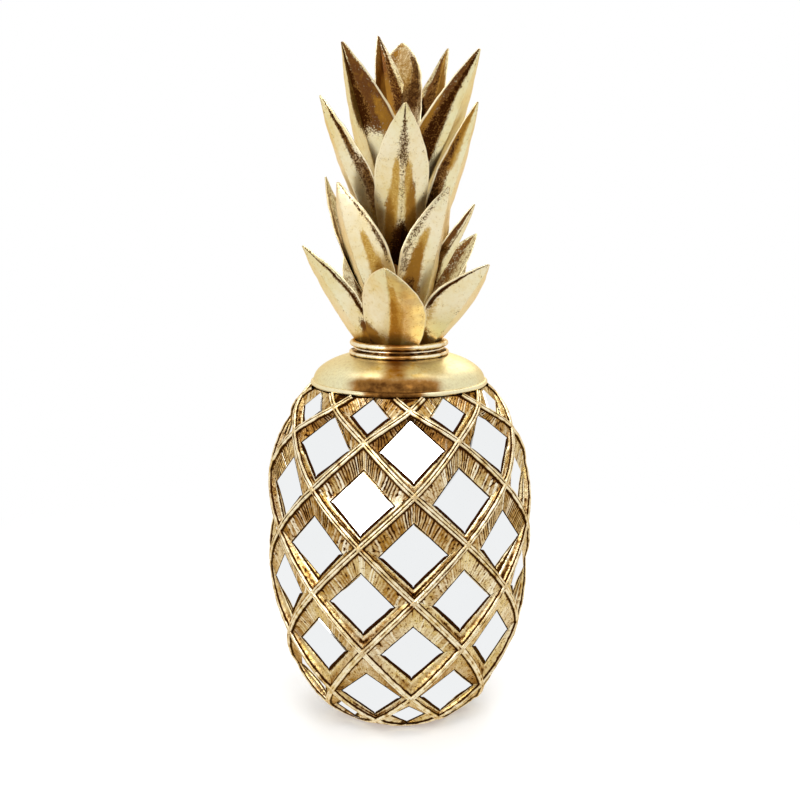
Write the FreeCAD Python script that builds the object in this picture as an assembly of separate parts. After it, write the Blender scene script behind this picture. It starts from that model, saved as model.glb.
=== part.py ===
import FreeCAD, Part
import os
from math import acos, cos, hypot, pi, radians, sin, sqrt

# Pineapple ornament, millimetres, +Z up, origin at the centre of the resting face.
# A cast body with a raised diamond lattice holds square mirror tiles in its cells. A domed
# shoulder cap, a beaded collar and a crown of creased leaves stand on it, and one tie rod
# through the middle pulls the whole stack together from the foot.

# Overall sizes
TOTAL_HEIGHT = 304.0
BODY_RADIUS = 58.8
WIDEST_HEIGHT = 95.8
CAP_SEAT_HEIGHT = 151.2
OVERRUN = 2.0

# Body profile: how far its two curves would run on past the cap's seat and the resting plane,
# and the powers of the superellipses
UPPER_CURVE_RUNOUT = 14.2
LOWER_CURVE_RUNOUT = 4.3
UPPER_ROUNDNESS = 2.21
LOWER_ROUNDNESS = 2.6

# Lattice and its cells
CELLS_AROUND = 8
LATTICE_TURN = 6.25
LATTICE_RUNOUT = 6.8
RIB_WIDTH = 2.8
CELL_FOOT_MARGIN = 1.6
SIDE_STEPS = 4

# Heights of the rows of rib crossings, as shares of the lattice height, from the foot up
CROSSING_SHARES = (0.0, 0.042, 0.139, 0.286, 0.436, 0.582, 0.720, 0.849, 0.927, 1.0)

# Mirror tiles
TILE_THICKNESS = 2.0
TILE_CHAMFER = 0.4
TILE_GAP = 0.3
TILE_PROUD = 0.4
TILE_SIDE = 19.5

# One row of tiles per entry, from the foot up: side as a share of the tile side, height of the
# centre as a share of the lattice height, depth of the face under the lattice surface as a share
# of the deepest, and upward tilt of the face in degrees
TILE_ROW_SHARES = {
    "mirror_row_1_foot": (0.51, 0.053, 0.53, -39),
    "mirror_row_2": (0.95, 0.131, 0.77, -28),
    "mirror_row_3": (0.94, 0.276, 0.79, -14),
    "mirror_row_4": (1.0, 0.420, 0.71, -7),
    "mirror_row_5": (1.02, 0.556, 0.85, -5),
    "mirror_row_6": (0.99, 0.697, 1.0, 10),
    "mirror_row_7": (1.0, 0.836, 0.86, 27),
    "mirror_row_8_shoulder": (0.61, 0.916, 0.62, 32),
}
TILE_DEPTH = 3.8

# Shoulder cap
CAP_RADIUS = 39.3
CAP_RIM_HEIGHT = 2.2
CAP_RIM_STEP = 0.5
CAP_DOME_RISE = 13.5
SPIGOT_RADIUS = 28.0
SPIGOT_HEIGHT = 3.0
SPIGOT_CLEARANCE = 0.3

# Neck collar: bead radii and heights from the bottom up
COLLAR_LOW_RADIUS = 22.2
COLLAR_MID_RADIUS = 19.9
COLLAR_TOP_RADIUS = 21.9
COLLAR_LOW_HEIGHT = 2.1
COLLAR_MID_HEIGHT = 1.7
COLLAR_TOP_HEIGHT = 2.7
COLLAR_LIP_WIDTH = 2.5
COLLAR_DISH_DEPTH = 1.6
BEAD_BULGE = 0.5
BEAD_BEVEL_SHARE = 0.3

# Crown
STEM_FOOT_RADIUS = 12.5
STEM_TOP_RADIUS = 4.0
STEM_HEIGHT = 80.0
STEM_NOSE = 3.0
STEM_FLATS = 12
LEAF_REACH = 50.0
LEAF_HALF_WIDTH = 15.0
LEAF_THICKNESS = 1.2
LEAF_ROOT_DEPTH = 2.0
LOW_LEAF_SETBACK = 1.5

# Leaves, as shares. Columns: direction of the root in degrees round from the front, drift of the
# tip from that direction, roll of the blade about its keel, height of the root and of the tip as
# shares of the crown height, reach of the tip as a share of the longest reach, half width as a
# share of the widest, fold of the edges towards the stem and bow of the keel as shares of the
# half width, place of the widest point as a share, and the power of the taper to the tip
LEAF_SHARES = {
    "leaf_low_front": (-20, 13, 0, 0.0, 0.265, 0.90, 1.0, 0.26, -0.20, 0.42, 1.80),
    "leaf_low_left": (-72, -5, 18, 0.0, 0.320, 0.85, 0.77, 0.20, -0.05, 0.44, 1.65),
    "leaf_low_right": (58, 4, -13, 0.0, 0.264, 0.86, 0.92, 0.45, 0.10, 0.48, 1.75),
    "leaf_low_back_right": (130, 0, 0, 0.0, 0.27, 0.80, 0.85, 0.35, 0.05, 0.45, 1.75),
    "leaf_low_back_left": (-140, 0, 0, 0.0, 0.29, 0.76, 0.85, 0.35, 0.05, 0.45, 1.70),
    "leaf_second_front_left": (-49, -1, 3, 0.07, 0.518, 0.67, 0.95, 0.50, 0.22, 0.50, 1.68),
    "leaf_second_front_right": (46, 0, -1, 0.05, 0.505, 0.58, 0.92, 0.52, 0.10, 0.53, 1.65),
    "leaf_second_left": (-101, -1, -5, 0.09, 0.537, 0.66, 0.70, 0.24, 0.40, 0.56, 1.75),
    "leaf_second_right": (80, 0, -10, 0.12, 0.450, 0.66, 0.72, 0.36, 0.15, 0.46, 1.65),
    "leaf_second_back_right": (120, 2, 6, 0.05, 0.348, 0.83, 0.75, 0.24, -0.05, 0.47, 2.4),
    "leaf_second_back": (-163, 0, 0, 0.06, 0.50, 0.60, 0.85, 0.40, 0.10, 0.48, 1.68),
    "leaf_third_front": (2, 1, 3, 0.24, 0.745, 0.94, 0.76, 0.44, -0.04, 0.56, 1.65),
    "leaf_third_left": (-59, 0, 4, 0.28, 0.780, 0.76, 0.78, 0.36, 0.15, 0.49, 1.65),
    "leaf_third_right": (70, 1, -12, 0.20, 0.765, 0.70, 0.78, 0.32, 0.16, 0.54, 1.75),
    "leaf_third_back_right": (142, 0, 0, 0.24, 0.70, 0.60, 0.75, 0.36, 0.10, 0.50, 1.68),
    "leaf_third_back_left": (-142, 0, 0, 0.22, 0.71, 0.62, 0.75, 0.36, 0.10, 0.50, 1.68),
    "leaf_top_front_left": (-40, 1, -1, 0.38, 0.931, 0.73, 0.97, 0.46, 0.0, 0.41, 1.65),
    "leaf_top_front_right": (51, 0, -7, 0.38, 0.912, 0.84, 0.90, 0.41, 0.08, 0.43, 1.75),
    "leaf_top_back_right": (120, 1, 5, 0.44, 0.944, 0.50, 0.76, 0.36, 0.10, 0.47, 1.70),
    "leaf_top_back_left": (-158, -6, 20, 0.48, 1.0, 0.69, 0.80, 0.46, -0.04, 0.41, 1.65),
    "leaf_top_back": (174, 4, -12, 0.54, 0.985, 0.86, 0.80, 0.46, -0.08, 0.48, 2.6),
}
ROOT_WIDTH_SHARE = 0.45
LOW_ROOT_WIDTH_SHARE = 0.75
TIP_WIDTH_SHARE = 0.05
LEAF_STATION_SHARES = (0.0, 0.16, 0.32, 0.48, 0.64, 0.80, 0.92, 1.0)

# Tie rod, washer, nut and foot pad
ROD_RADIUS = 3.0
ROD_CLEARANCE = 0.3
ROD_GRIP = 26.0
ROD_TAIL = 1.5
PAD_THICKNESS = 2.0
PAD_PROUD = 0.5
PAD_RADIUS = 21.5
PAD_CLEARANCE = 0.3
NUT_FLATS = 10.0
NUT_HEIGHT = 5.0
WASHER_RADIUS = 9.0
WASHER_THICKNESS = 1.6
NUT_ROOM = 2.5
NUT_HEADROOM = 1.0

# Sizes and levels that follow from those above
UPPER_RISE = CAP_SEAT_HEIGHT + UPPER_CURVE_RUNOUT - WIDEST_HEIGHT
LOWER_DROP = WIDEST_HEIGHT + LOWER_CURVE_RUNOUT
LATTICE_HEIGHT = CAP_SEAT_HEIGHT + LATTICE_RUNOUT
WASHER_TOP = PAD_THICKNESS + NUT_HEADROOM + NUT_HEIGHT + WASHER_THICKNESS
NUT_BOTTOM = WASHER_TOP - WASHER_THICKNESS - NUT_HEIGHT
CAP_DOME_FOOT = CAP_SEAT_HEIGHT + CAP_RIM_HEIGHT
CAP_DOME_RADIUS = CAP_RADIUS - CAP_RIM_STEP
COLLAR_SEAT = CAP_DOME_FOOT + CAP_DOME_RISE * sqrt(1 - (COLLAR_LOW_RADIUS / CAP_DOME_RADIUS) ** 2)
COLLAR_TOP = COLLAR_SEAT + COLLAR_LOW_HEIGHT + COLLAR_MID_HEIGHT + COLLAR_TOP_HEIGHT
STEM_SEAT = COLLAR_TOP - COLLAR_DISH_DEPTH
CROWN_HEIGHT = TOTAL_HEIGHT - STEM_SEAT
LOW_LEAF_ROOT_RADIUS = STEM_FOOT_RADIUS + LOW_LEAF_SETBACK
HALF_STEP = 180 / CELLS_AROUND
UP = FreeCAD.Vector(0, 0, 1)
AXIS_POINT = FreeCAD.Vector(0, 0, 0)


def point(x, y, z):
    return FreeCAD.Vector(x, y, z)


def polygon(points):
    return Part.makePolygon(points + [points[0]])


def turned(p, turn):
    """A point turned round the Z axis."""
    return FreeCAD.Rotation(UP, turn).multVec(p)


def ring(shape, count, start=0.0):
    """Copies of a shape turned round the Z axis."""
    copies = []
    for k in range(count):
        copy = shape.copy()
        copy.rotate(AXIS_POINT, UP, start + 360 * k / count)
        copies.append(copy)
    return copies


def revolved(edges):
    """Solid of revolution from a closed half section in the XZ plane."""
    face = Part.Face(Part.Wire(edges))
    return face.revolve(AXIS_POINT, UP, 360)


def line(a, b):
    return Part.makeLine(point(a[0], 0, a[1]), point(b[0], 0, b[1]))


def arc(a, middle, b):
    return Part.Arc(point(a[0], 0, a[1]), point(middle[0], 0, middle[1]), point(b[0], 0, b[1])).toShape()


def cylinder(radius, bottom, top):
    return Part.makeCylinder(radius, top - bottom, point(0, 0, bottom), UP)


def body_radius(z):
    """Radius of the lattice surface: two half superellipses that meet at the widest height."""
    if z > WIDEST_HEIGHT:
        share, power = (z - WIDEST_HEIGHT) / UPPER_RISE, UPPER_ROUNDNESS
    else:
        share, power = (WIDEST_HEIGHT - z) / LOWER_DROP, LOWER_ROUNDNESS
    return BODY_RADIUS * max(1 - share ** power, 0) ** (1 / power)


def surface_point(turn, z):
    """Point of the lattice surface, its angle counted from +X."""
    radius = body_radius(z)
    return point(radius * cos(radians(turn)), radius * sin(radians(turn)), z)


def tile_frame(shares):
    """Centre of a tile's face on the +X side, with its outward, sideways and upward directions."""
    side_share, height_share, depth_share, tilt = shares
    z = LATTICE_HEIGHT * height_share
    out = point(cos(radians(tilt)), 0, sin(radians(tilt)))
    across = point(0, 1, 0)
    rise = point(-sin(radians(tilt)), 0, cos(radians(tilt)))
    centre = surface_point(0, z) - out * (TILE_DEPTH * depth_share)
    return centre, out, across, rise


def diamond(shares, side, level):
    """Corners of a square on its point, parallel to the tile, at a level in front of its face."""
    centre, out, across, rise = tile_frame(shares)
    middle = centre + out * level
    half = side / sqrt(2)
    return [middle + rise * half, middle + across * half, middle - rise * half, middle - across * half]


def cell_corners(row, place):
    """Turn and height of the four corners of a cell, from its top round to its left.

    A cell's place counts half steps round the body. The corners lie inside the ribs' edges.
    """
    lower, middle, upper = (LATTICE_HEIGHT * CROSSING_SHARES[row + k] for k in range(3))
    lower = max(lower, PAD_PROUD + CELL_FOOT_MARGIN)
    wide = body_radius(middle) * sin(radians(HALF_STEP))
    tall = hypot(upper - lower, body_radius(upper) - body_radius(lower)) / 2
    slant = hypot(wide, tall)
    inset_turn = HALF_STEP * RIB_WIDTH / 2 * slant / (tall * wide)
    inset_rise = (upper - lower) * RIB_WIDTH / 2 * slant / (2 * wide * tall)
    centre = LATTICE_TURN - 90 + place * HALF_STEP
    turn = HALF_STEP - inset_turn
    return [(centre, upper - inset_rise), (centre + turn, middle),
            (centre, lower + inset_rise), (centre - turn, middle)]


def cell_side(row, place, corner):
    """Points along one side of a cell, on the helix that edges its rib."""
    corners = cell_corners(row, place)
    (turn_a, z_a), (turn_b, z_b) = corners[corner], corners[(corner + 1) % 4]
    shares = [k / SIDE_STEPS for k in range(SIDE_STEPS + 1)]
    return [surface_point(turn_a + (turn_b - turn_a) * s, z_a + (z_b - z_a) * s) for s in shares]


def facet(*corners):
    return Part.Face(polygon(list(corners)))


def ladder(side_a, side_b):
    """Facets between two rows of points that run the same way."""
    facets = []
    for a, b, c, d in zip(side_a, side_a[1:], side_b[1:], side_b):
        facets += [facet(a, b, c), facet(a, c, d)]
    return facets


def bevel(side, seat_a, seat_b):
    """Sloping wall from a rib's curved edge down to one straight edge of the tile's pocket."""
    half = SIDE_STEPS // 2
    facets = [facet(seat_a, a, b) for a, b in zip(side[:half], side[1:half + 1])]
    facets += [facet(seat_b, a, b) for a, b in zip(side[half:-1], side[half + 1:])]
    return facets + [facet(seat_a, side[half], seat_b)]


def cell_faces(row, place, shares):
    """Pocket and four bevelled walls of one cell."""
    seat_side = TILE_SIDE * shares[0] + 2 * TILE_GAP
    turn = LATTICE_TURN - 90 + place * HALF_STEP
    floor = [turned(p, turn) for p in diamond(shares, seat_side, -TILE_THICKNESS)]
    lip = [turned(p, turn) for p in diamond(shares, seat_side, -TILE_PROUD)]
    faces = [facet(*floor)]
    for corner in range(4):
        other = (corner + 1) % 4
        faces.append(facet(floor[corner], floor[other], lip[other], lip[corner]))
        faces += bevel(cell_side(row, place, corner), lip[corner], lip[other])
    return faces


def rib_faces(row, place):
    """Crests of the ribs over one cell, with the crossing on its right."""
    below = cell_side(row - 1, place + 1, 0)[0] if row else None
    right, left = cell_side(row, place, 1)[0], cell_side(row, place + 2, 3)[0]
    faces = [facet(right, below, left)] if row else []
    if row + 1 < len(TILE_ROW_SHARES):
        faces += ladder(cell_side(row, place, 0), cell_side(row + 1, place + 1, 2)[::-1])
        faces += ladder(cell_side(row, place, 3), cell_side(row + 1, place - 1, 1)[::-1])
        faces.append(facet(right, left, cell_side(row + 1, place + 1, 2)[0]))
    else:
        faces += ladder(cell_side(row, place, 0), cell_side(row, place + 2, 3)[::-1])
    return faces


def foot_faces():
    """Band below the lowest cells, down to the edge of the foot."""
    upper = cell_side(0, 0, 1) + cell_side(0, 0, 2)[1:]
    upper = [cell_side(0, 2, 3)[0]] + upper
    lower = []
    for p in upper:
        reach = body_radius(PAD_PROUD) / hypot(p.x, p.y)
        lower.append(point(p.x * reach, p.y * reach, PAD_PROUD))
    return ladder(upper, lower), lower[1:]


def body_shell():
    """Closed shell of the lattice: one column of cells, repeated round the axis and sewn."""
    column = []
    for row, shares in enumerate(TILE_ROW_SHARES.values()):
        column += cell_faces(row, row % 2, shares) + rib_faces(row, row % 2)
    band, edge = foot_faces()
    column += band
    top_row = len(TILE_ROW_SHARES) - 1
    step = 360 / CELLS_AROUND
    top = [turned(cell_side(top_row, top_row % 2, 0)[0], step * k) for k in range(CELLS_AROUND)]
    foot = [turned(p, -step * k) for k in range(CELLS_AROUND) for p in edge]
    faces = ring(Part.makeCompound(column), CELLS_AROUND) + [facet(*top), facet(*foot)]
    shell = Part.makeCompound(faces)
    shell.sewShape()
    return Part.makeSolid(Part.makeShell(shell.Faces))


def body_casting():
    """Cast body: lattice shell with a deck and spigot for the cap, bored for the tie rod."""
    body = body_shell()
    deck_room = cylinder(BODY_RADIUS, CAP_SEAT_HEIGHT, TOTAL_HEIGHT)
    spigot = cylinder(SPIGOT_RADIUS, CAP_SEAT_HEIGHT - OVERRUN, CAP_SEAT_HEIGHT + SPIGOT_HEIGHT)
    pad_room = cylinder(PAD_RADIUS + PAD_CLEARANCE, PAD_PROUD - OVERRUN, PAD_THICKNESS)
    nut_room = cylinder(WASHER_RADIUS + NUT_ROOM, PAD_PROUD - OVERRUN, WASHER_TOP)
    bore = cylinder(ROD_RADIUS + ROD_CLEARANCE, WASHER_TOP - OVERRUN, TOTAL_HEIGHT)
    return body.cut(deck_room).fuse(spigot).cut([pad_room, nut_room, bore])


def row_start(row):
    """Turn of the first cell of a row: neighbouring rows are staggered by half a cell."""
    return LATTICE_TURN - 90 + (row % 2) * HALF_STEP


def mirror_tile(shares):
    """Square of mirror glass with ground edges, on its point, seated on the floor of its pocket."""
    side = TILE_SIDE * shares[0]
    back = polygon(diamond(shares, side, -TILE_THICKNESS))
    shoulder = polygon(diamond(shares, side, -TILE_CHAMFER))
    face = polygon(diamond(shares, side - 2 * TILE_CHAMFER, 0))
    return Part.makeLoft([back, shoulder, face], True, True)


def shoulder_cap():
    """Domed cap with a thin upright rim, hollowed below for the body's spigot."""
    seat = CAP_SEAT_HEIGHT
    land = (COLLAR_LOW_RADIUS, COLLAR_SEAT)
    middle = acos(COLLAR_LOW_RADIUS / CAP_DOME_RADIUS) / 2
    dome_middle = (CAP_DOME_RADIUS * cos(middle), CAP_DOME_FOOT + CAP_DOME_RISE * sin(middle))
    rim_in = CAP_DOME_RADIUS
    cap = revolved([
        line((0, seat), (rim_in, seat)),
        line((rim_in, seat), (CAP_RADIUS, seat + CAP_RIM_STEP)),
        line((CAP_RADIUS, seat + CAP_RIM_STEP), (CAP_RADIUS, CAP_DOME_FOOT - CAP_RIM_STEP)),
        line((CAP_RADIUS, CAP_DOME_FOOT - CAP_RIM_STEP), (rim_in, CAP_DOME_FOOT)),
        arc((rim_in, CAP_DOME_FOOT), dome_middle, land),
        line(land, (0, COLLAR_SEAT)),
        line((0, COLLAR_SEAT), (0, seat)),
    ])
    socket = cylinder(SPIGOT_RADIUS + SPIGOT_CLEARANCE, seat - OVERRUN,
                      seat + SPIGOT_HEIGHT + SPIGOT_CLEARANCE)
    bore = cylinder(ROD_RADIUS + ROD_CLEARANCE, seat, TOTAL_HEIGHT)
    return cap.cut([socket, bore])


def bead(radius, bottom, height):
    """Edge of one bead of the collar: an upright land between two bevels."""
    inner = radius - BEAD_BULGE
    low, high = bottom + height * BEAD_BEVEL_SHARE, bottom + height * (1 - BEAD_BEVEL_SHARE)
    corners = [(inner, bottom), (radius, low), (radius, high), (inner, bottom + height)]
    return [line(a, b) for a, b in zip(corners, corners[1:])]


def neck_collar():
    """Collar turned with three stacked beads and a dished top."""
    low = COLLAR_SEAT
    mid = low + COLLAR_LOW_HEIGHT
    top = mid + COLLAR_MID_HEIGHT
    collar = revolved([
        line((0, low), (COLLAR_LOW_RADIUS - BEAD_BULGE, low)),
        *bead(COLLAR_LOW_RADIUS, low, COLLAR_LOW_HEIGHT),
        line((COLLAR_LOW_RADIUS - BEAD_BULGE, mid), (COLLAR_MID_RADIUS - BEAD_BULGE, mid)),
        *bead(COLLAR_MID_RADIUS, mid, COLLAR_MID_HEIGHT),
        line((COLLAR_MID_RADIUS - BEAD_BULGE, top), (COLLAR_TOP_RADIUS - BEAD_BULGE, top)),
        *bead(COLLAR_TOP_RADIUS, top, COLLAR_TOP_HEIGHT),
        line((COLLAR_TOP_RADIUS - BEAD_BULGE, COLLAR_TOP), (0, COLLAR_TOP)),
        line((0, COLLAR_TOP), (0, low)),
    ])
    dish = cylinder(COLLAR_TOP_RADIUS - COLLAR_LIP_WIDTH, STEM_SEAT, TOTAL_HEIGHT)
    bore = cylinder(ROD_RADIUS + ROD_CLEARANCE, low - OVERRUN, TOTAL_HEIGHT)
    return collar.cut([dish, bore])


def stem_radius(z):
    share = (z - STEM_SEAT) / STEM_HEIGHT
    return STEM_FOOT_RADIUS + (STEM_TOP_RADIUS - STEM_FOOT_RADIUS) * share


def stem_section(radius, z):
    """Outline of the stem at one height, its flats as far from the axis as the radius."""
    corner = radius / cos(pi / STEM_FLATS)
    turns = [360 * (k + 1 / 2) / STEM_FLATS for k in range(STEM_FLATS)]
    return polygon([point(corner * cos(radians(t)), corner * sin(radians(t)), z) for t in turns])


def crown_stem():
    """Tapered core of the crown, milled with flats for the leaves and bored blind for the rod."""
    shoulder = STEM_SEAT + STEM_HEIGHT
    stem = Part.makeLoft([stem_section(STEM_FOOT_RADIUS, STEM_SEAT),
                          stem_section(STEM_TOP_RADIUS, shoulder),
                          stem_section(STEM_TOP_RADIUS / 2, shoulder + STEM_NOSE)], True, True)
    return stem.cut(cylinder(ROD_RADIUS, STEM_SEAT - OVERRUN, STEM_SEAT + ROD_GRIP))


def leaf_point(turn, radius, z):
    """Point of the crown, its direction counted round from the front."""
    return point(radius * sin(radians(turn)), -radius * cos(radians(turn)), z)


def width_share(share, widest, root, power):
    """Half width along a leaf: it swells from the root to its widest point, then runs to the tip."""
    if share < widest:
        return 1 - (1 - root) * ((widest - share) / widest) ** 2
    return 1 - (1 - TIP_WIDTH_SHARE) * ((share - widest) / (1 - widest)) ** power


def leaf_blade(shares):
    """Creased leaf: a lens-shaped sheet folded along a bowed keel, lofted through V sections."""
    turn, drift, roll, root_share, rise_share, reach_share, half_share = shares[:7]
    fold, bow, widest, power = shares[7:]
    low = root_share == 0
    root_width = LOW_ROOT_WIDTH_SHARE if low else ROOT_WIDTH_SHARE
    root_z = STEM_SEAT + CROWN_HEIGHT * root_share - (LEAF_ROOT_DEPTH if low else 0)
    root_radius = LOW_LEAF_ROOT_RADIUS if low else stem_radius(root_z) - LEAF_ROOT_DEPTH
    root = leaf_point(turn, root_radius, root_z)
    end = leaf_point(turn + drift, LEAF_REACH * reach_share, STEM_SEAT + CROWN_HEIGHT * rise_share)
    along = end - root
    length = along.Length
    along.normalize()
    out = leaf_point(turn, 1, 0)
    out = (out - along * out.dot(along)).normalize()
    across = along.cross(out)
    tilt = FreeCAD.Rotation(along, roll)
    out, across = tilt.multVec(out), tilt.multVec(across)
    half = LEAF_HALF_WIDTH * half_share
    skin = out * (LEAF_THICKNESS / 2)
    sections = []
    for share in LEAF_STATION_SHARES:
        keel = root + along * (length * share) + out * (bow * half * 4 * share * (1 - share))
        width = half * width_share(share, widest, root_width, power)
        left = keel - across * width - out * (fold * width)
        right = keel + across * width - out * (fold * width)
        sections.append(polygon([left + skin, keel + skin, right + skin,
                                 right - skin, keel - skin, left - skin]))
    return Part.makeLoft(sections, True, True)


def crown_leaves(stem, collar):
    """Every leaf, trimmed to the stem and collar that carry it and to the leaves beside it."""
    leaves = {}
    for name, shares in LEAF_SHARES.items():
        blade = leaf_blade(shares)
        near = [other for other in leaves.values() if blade.BoundBox.intersect(other.BoundBox)]
        trimmed = blade.cut([stem, collar] + near)
        leaves[name] = max(trimmed.Solids, key=lambda solid: solid.Volume)
    return leaves


def tie_rod():
    return cylinder(ROD_RADIUS, NUT_BOTTOM - ROD_TAIL / 2, STEM_SEAT + ROD_GRIP)


def rod_washer():
    disc = cylinder(WASHER_RADIUS, WASHER_TOP - WASHER_THICKNESS, WASHER_TOP)
    return disc.cut(cylinder(ROD_RADIUS + ROD_CLEARANCE, 0, TOTAL_HEIGHT))


def rod_nut():
    corner = NUT_FLATS / 2 / cos(pi / 6)
    corners = [point(corner * cos(k * pi / 3), corner * sin(k * pi / 3), NUT_BOTTOM) for k in range(6)]
    nut = Part.Face(polygon(corners)).extrude(UP * NUT_HEIGHT)
    return nut.cut(cylinder(ROD_RADIUS, 0, TOTAL_HEIGHT))


def foot_pad():
    return cylinder(PAD_RADIUS, 0, PAD_THICKNESS)


def write(name, shape):
    shape.exportStep("parts/" + name + ".step")


def main():
    os.makedirs("parts", exist_ok=True)
    write("body_casting", body_casting())
    for row, (name, shares) in enumerate(TILE_ROW_SHARES.items()):
        write(name, Part.makeCompound(ring(mirror_tile(shares), CELLS_AROUND, row_start(row))))
    collar = neck_collar()
    stem = crown_stem()
    write("shoulder_cap", shoulder_cap())
    write("neck_collar", collar)
    write("crown_stem", stem)
    for name, leaf in crown_leaves(stem, collar).items():
        write(name, leaf)
    write("tie_rod", tie_rod())
    write("rod_washer", rod_washer())
    write("rod_nut", rod_nut())
    write("foot_pad", foot_pad())


main()
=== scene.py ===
"""Pineapple ornament: the detailed pieces, finishes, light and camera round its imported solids."""

import math
import random

import bpy
from bpy.props import FloatProperty, FloatVectorProperty, PointerProperty
from mathutils import Matrix, Vector, noise


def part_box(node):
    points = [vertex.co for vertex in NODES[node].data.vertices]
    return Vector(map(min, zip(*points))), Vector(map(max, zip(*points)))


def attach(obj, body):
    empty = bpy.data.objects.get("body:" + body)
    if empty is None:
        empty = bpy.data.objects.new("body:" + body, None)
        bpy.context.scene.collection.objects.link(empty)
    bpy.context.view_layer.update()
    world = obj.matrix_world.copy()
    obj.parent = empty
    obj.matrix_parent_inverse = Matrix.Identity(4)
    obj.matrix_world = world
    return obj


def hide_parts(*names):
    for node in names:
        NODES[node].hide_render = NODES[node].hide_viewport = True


bl_info = {
    "name": "Pineapple Ornament",
    "version": (1, 0, 0),
    "blender": (4, 5, 0),
    "location": "View3D > Sidebar > Pineapple",
    "description": "Builds the lattice, crown and finishes of a mirrored pineapple ornament",
    "category": "Object",
}

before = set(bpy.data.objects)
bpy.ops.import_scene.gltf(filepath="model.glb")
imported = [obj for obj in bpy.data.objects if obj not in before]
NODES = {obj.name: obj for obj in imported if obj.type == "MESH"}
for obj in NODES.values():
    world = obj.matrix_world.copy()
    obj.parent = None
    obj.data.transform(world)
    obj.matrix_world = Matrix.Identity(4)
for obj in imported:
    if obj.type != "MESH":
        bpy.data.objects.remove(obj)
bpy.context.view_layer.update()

MM = 0.001

# Body profile: two half superellipses that meet at the widest height
BODY_RADIUS = 58.8 * MM
WIDEST_HEIGHT = 95.8 * MM
UPPER_RISE = 69.6 * MM
LOWER_DROP = 100.1 * MM
UPPER_ROUNDNESS = 2.21
LOWER_ROUNDNESS = 2.6

# Lattice: eight ribs each way, crossing at these shares of its height
CELLS_AROUND = 8
HALF_STEP = 180 / CELLS_AROUND
LATTICE_TURN = 6.25
LATTICE_HEIGHT = 158.0 * MM
RIB_WIDTH = 2.8 * MM
FOOT_LEVEL = 0.5 * MM
CELL_FOOT = 2.1 * MM
CROSSING_SHARES = (0.0, 0.042, 0.139, 0.286, 0.436, 0.582, 0.720, 0.849, 0.927, 1.0)
LAST_CROSSING = len(CROSSING_SHARES) - 1

# Mirror tiles: side share, centre height share, depth share and upward tilt of each row
TILE_SIDE = 19.5 * MM
TILE_DEPTH = 3.8 * MM
TILE_THICKNESS = 2.0 * MM
TILE_GAP = 0.3 * MM
TILE_PROUD = 0.4 * MM
TILE_ROWS = {
    "mirror_row_1_foot": (0.51, 0.053, 0.53, -39),
    "mirror_row_2": (0.95, 0.131, 0.77, -28),
    "mirror_row_3": (0.94, 0.276, 0.79, -14),
    "mirror_row_4": (1.0, 0.420, 0.71, -7),
    "mirror_row_5": (1.02, 0.556, 0.85, -5),
    "mirror_row_6": (0.99, 0.697, 1.0, 10),
    "mirror_row_7": (1.0, 0.836, 0.86, 27),
    "mirror_row_8_shoulder": (0.61, 0.916, 0.62, 32),
}
# How strongly each row's upper walls are combed, from the foot up
COMB_SHARES = (0.1, 0.2, 0.35, 0.55, 0.9, 1.0, 0.85, 0.6)
# How much of the dark wash stays on each row's upper walls, from the foot up, and on every lower
# wall, and how much lighter walls that face right are painted, as painted light
WALL_TONES = (0.8, 1.0, 0.58, 0.5, 0.95, 0.6, 1.2, 0.85)
LOWER_WALL_TONE = 0.45
RIGHT_SIDE_PAINTED_LIGHT = 0.35

# Relief of the cells: how deep the walls' edges and the lines under the ribs lie, the room left
# under the cap's seat, the grit, the lower walls' bead and channel, the power that squares the
# comb's grooves, and the dark strip laid over the tiles' lower edges as painted shadow
WALL_SINK = 0.35 * MM
CREST_SINK = 0.4 * MM
SEAT_MARGIN = 0.1 * MM
GRIT_DEPTH = 0.14 * MM
BAND_GRIT = 0.12 * MM
WALL_BEAD = 0.3 * MM
WALL_CHANNEL = 0.35 * MM
COMB_SQUARENESS = 0.8
SHADOW_STRIP_WIDTH = 0.75 * MM
SHADOW_STRIP_SWAY = 0.2 * MM
SHADOW_STRIP_LIFT = 0.06 * MM
SHADOW_STRIP_LIP = 0.07 * MM

# Section of a rib from its left edge to its middle, then mirrored: place across as a share of the
# half width, fixed height, height as a share of the bead's, and how bright the crest is
RIB_SECTION = (
    (-1.0, -0.6 * MM, 0.0, 0.0), (-0.97, 0.0, 0.0, 0.1), (-0.88, 0.1 * MM, 0.0, 0.25),
    (-0.8, 0.0, 0.45, 0.8), (-0.62, 0.0, 0.8, 1.0), (-0.42, 0.0, 0.95, 1.0),
    (-0.24, 0.0, 0.9, 0.9), (-0.12, 0.0, 0.68, 0.35), (0.0, 0.0, 0.5, 0.0))
RIB_SECTION += tuple((-u, *rest) for u, *rest in RIB_SECTION[-2::-1])
# The ribs come out of the foot over RIB_FOOT_RISE, and the groove between their beads opens up
# from the first height of RIB_GROOVE_OPENS to the second
RIB_HEADROOM = 0.3 * MM
RIB_FOOT_RISE = 5 * MM
RIB_GROOVE_OPENS = (45 * MM, 95 * MM)
RIB_DENTS = 0.15 * MM
RIB_SWAY = 0.16 * MM

# Knobs: each ring's reach as a share of the half width and its height in KNOB_RISE, from the top
KNOB_RINGS = ((0.0, 1.35), (0.45, 1.3), (0.75, 1.1), (0.93, 0.75), (1.02, 0.2), (1.05, -0.5))
KNOB_RISE = 0.66 * MM
KNOB_GRIT = 0.08 * MM
KNOB_HEADROOM = 2 * MM

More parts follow.
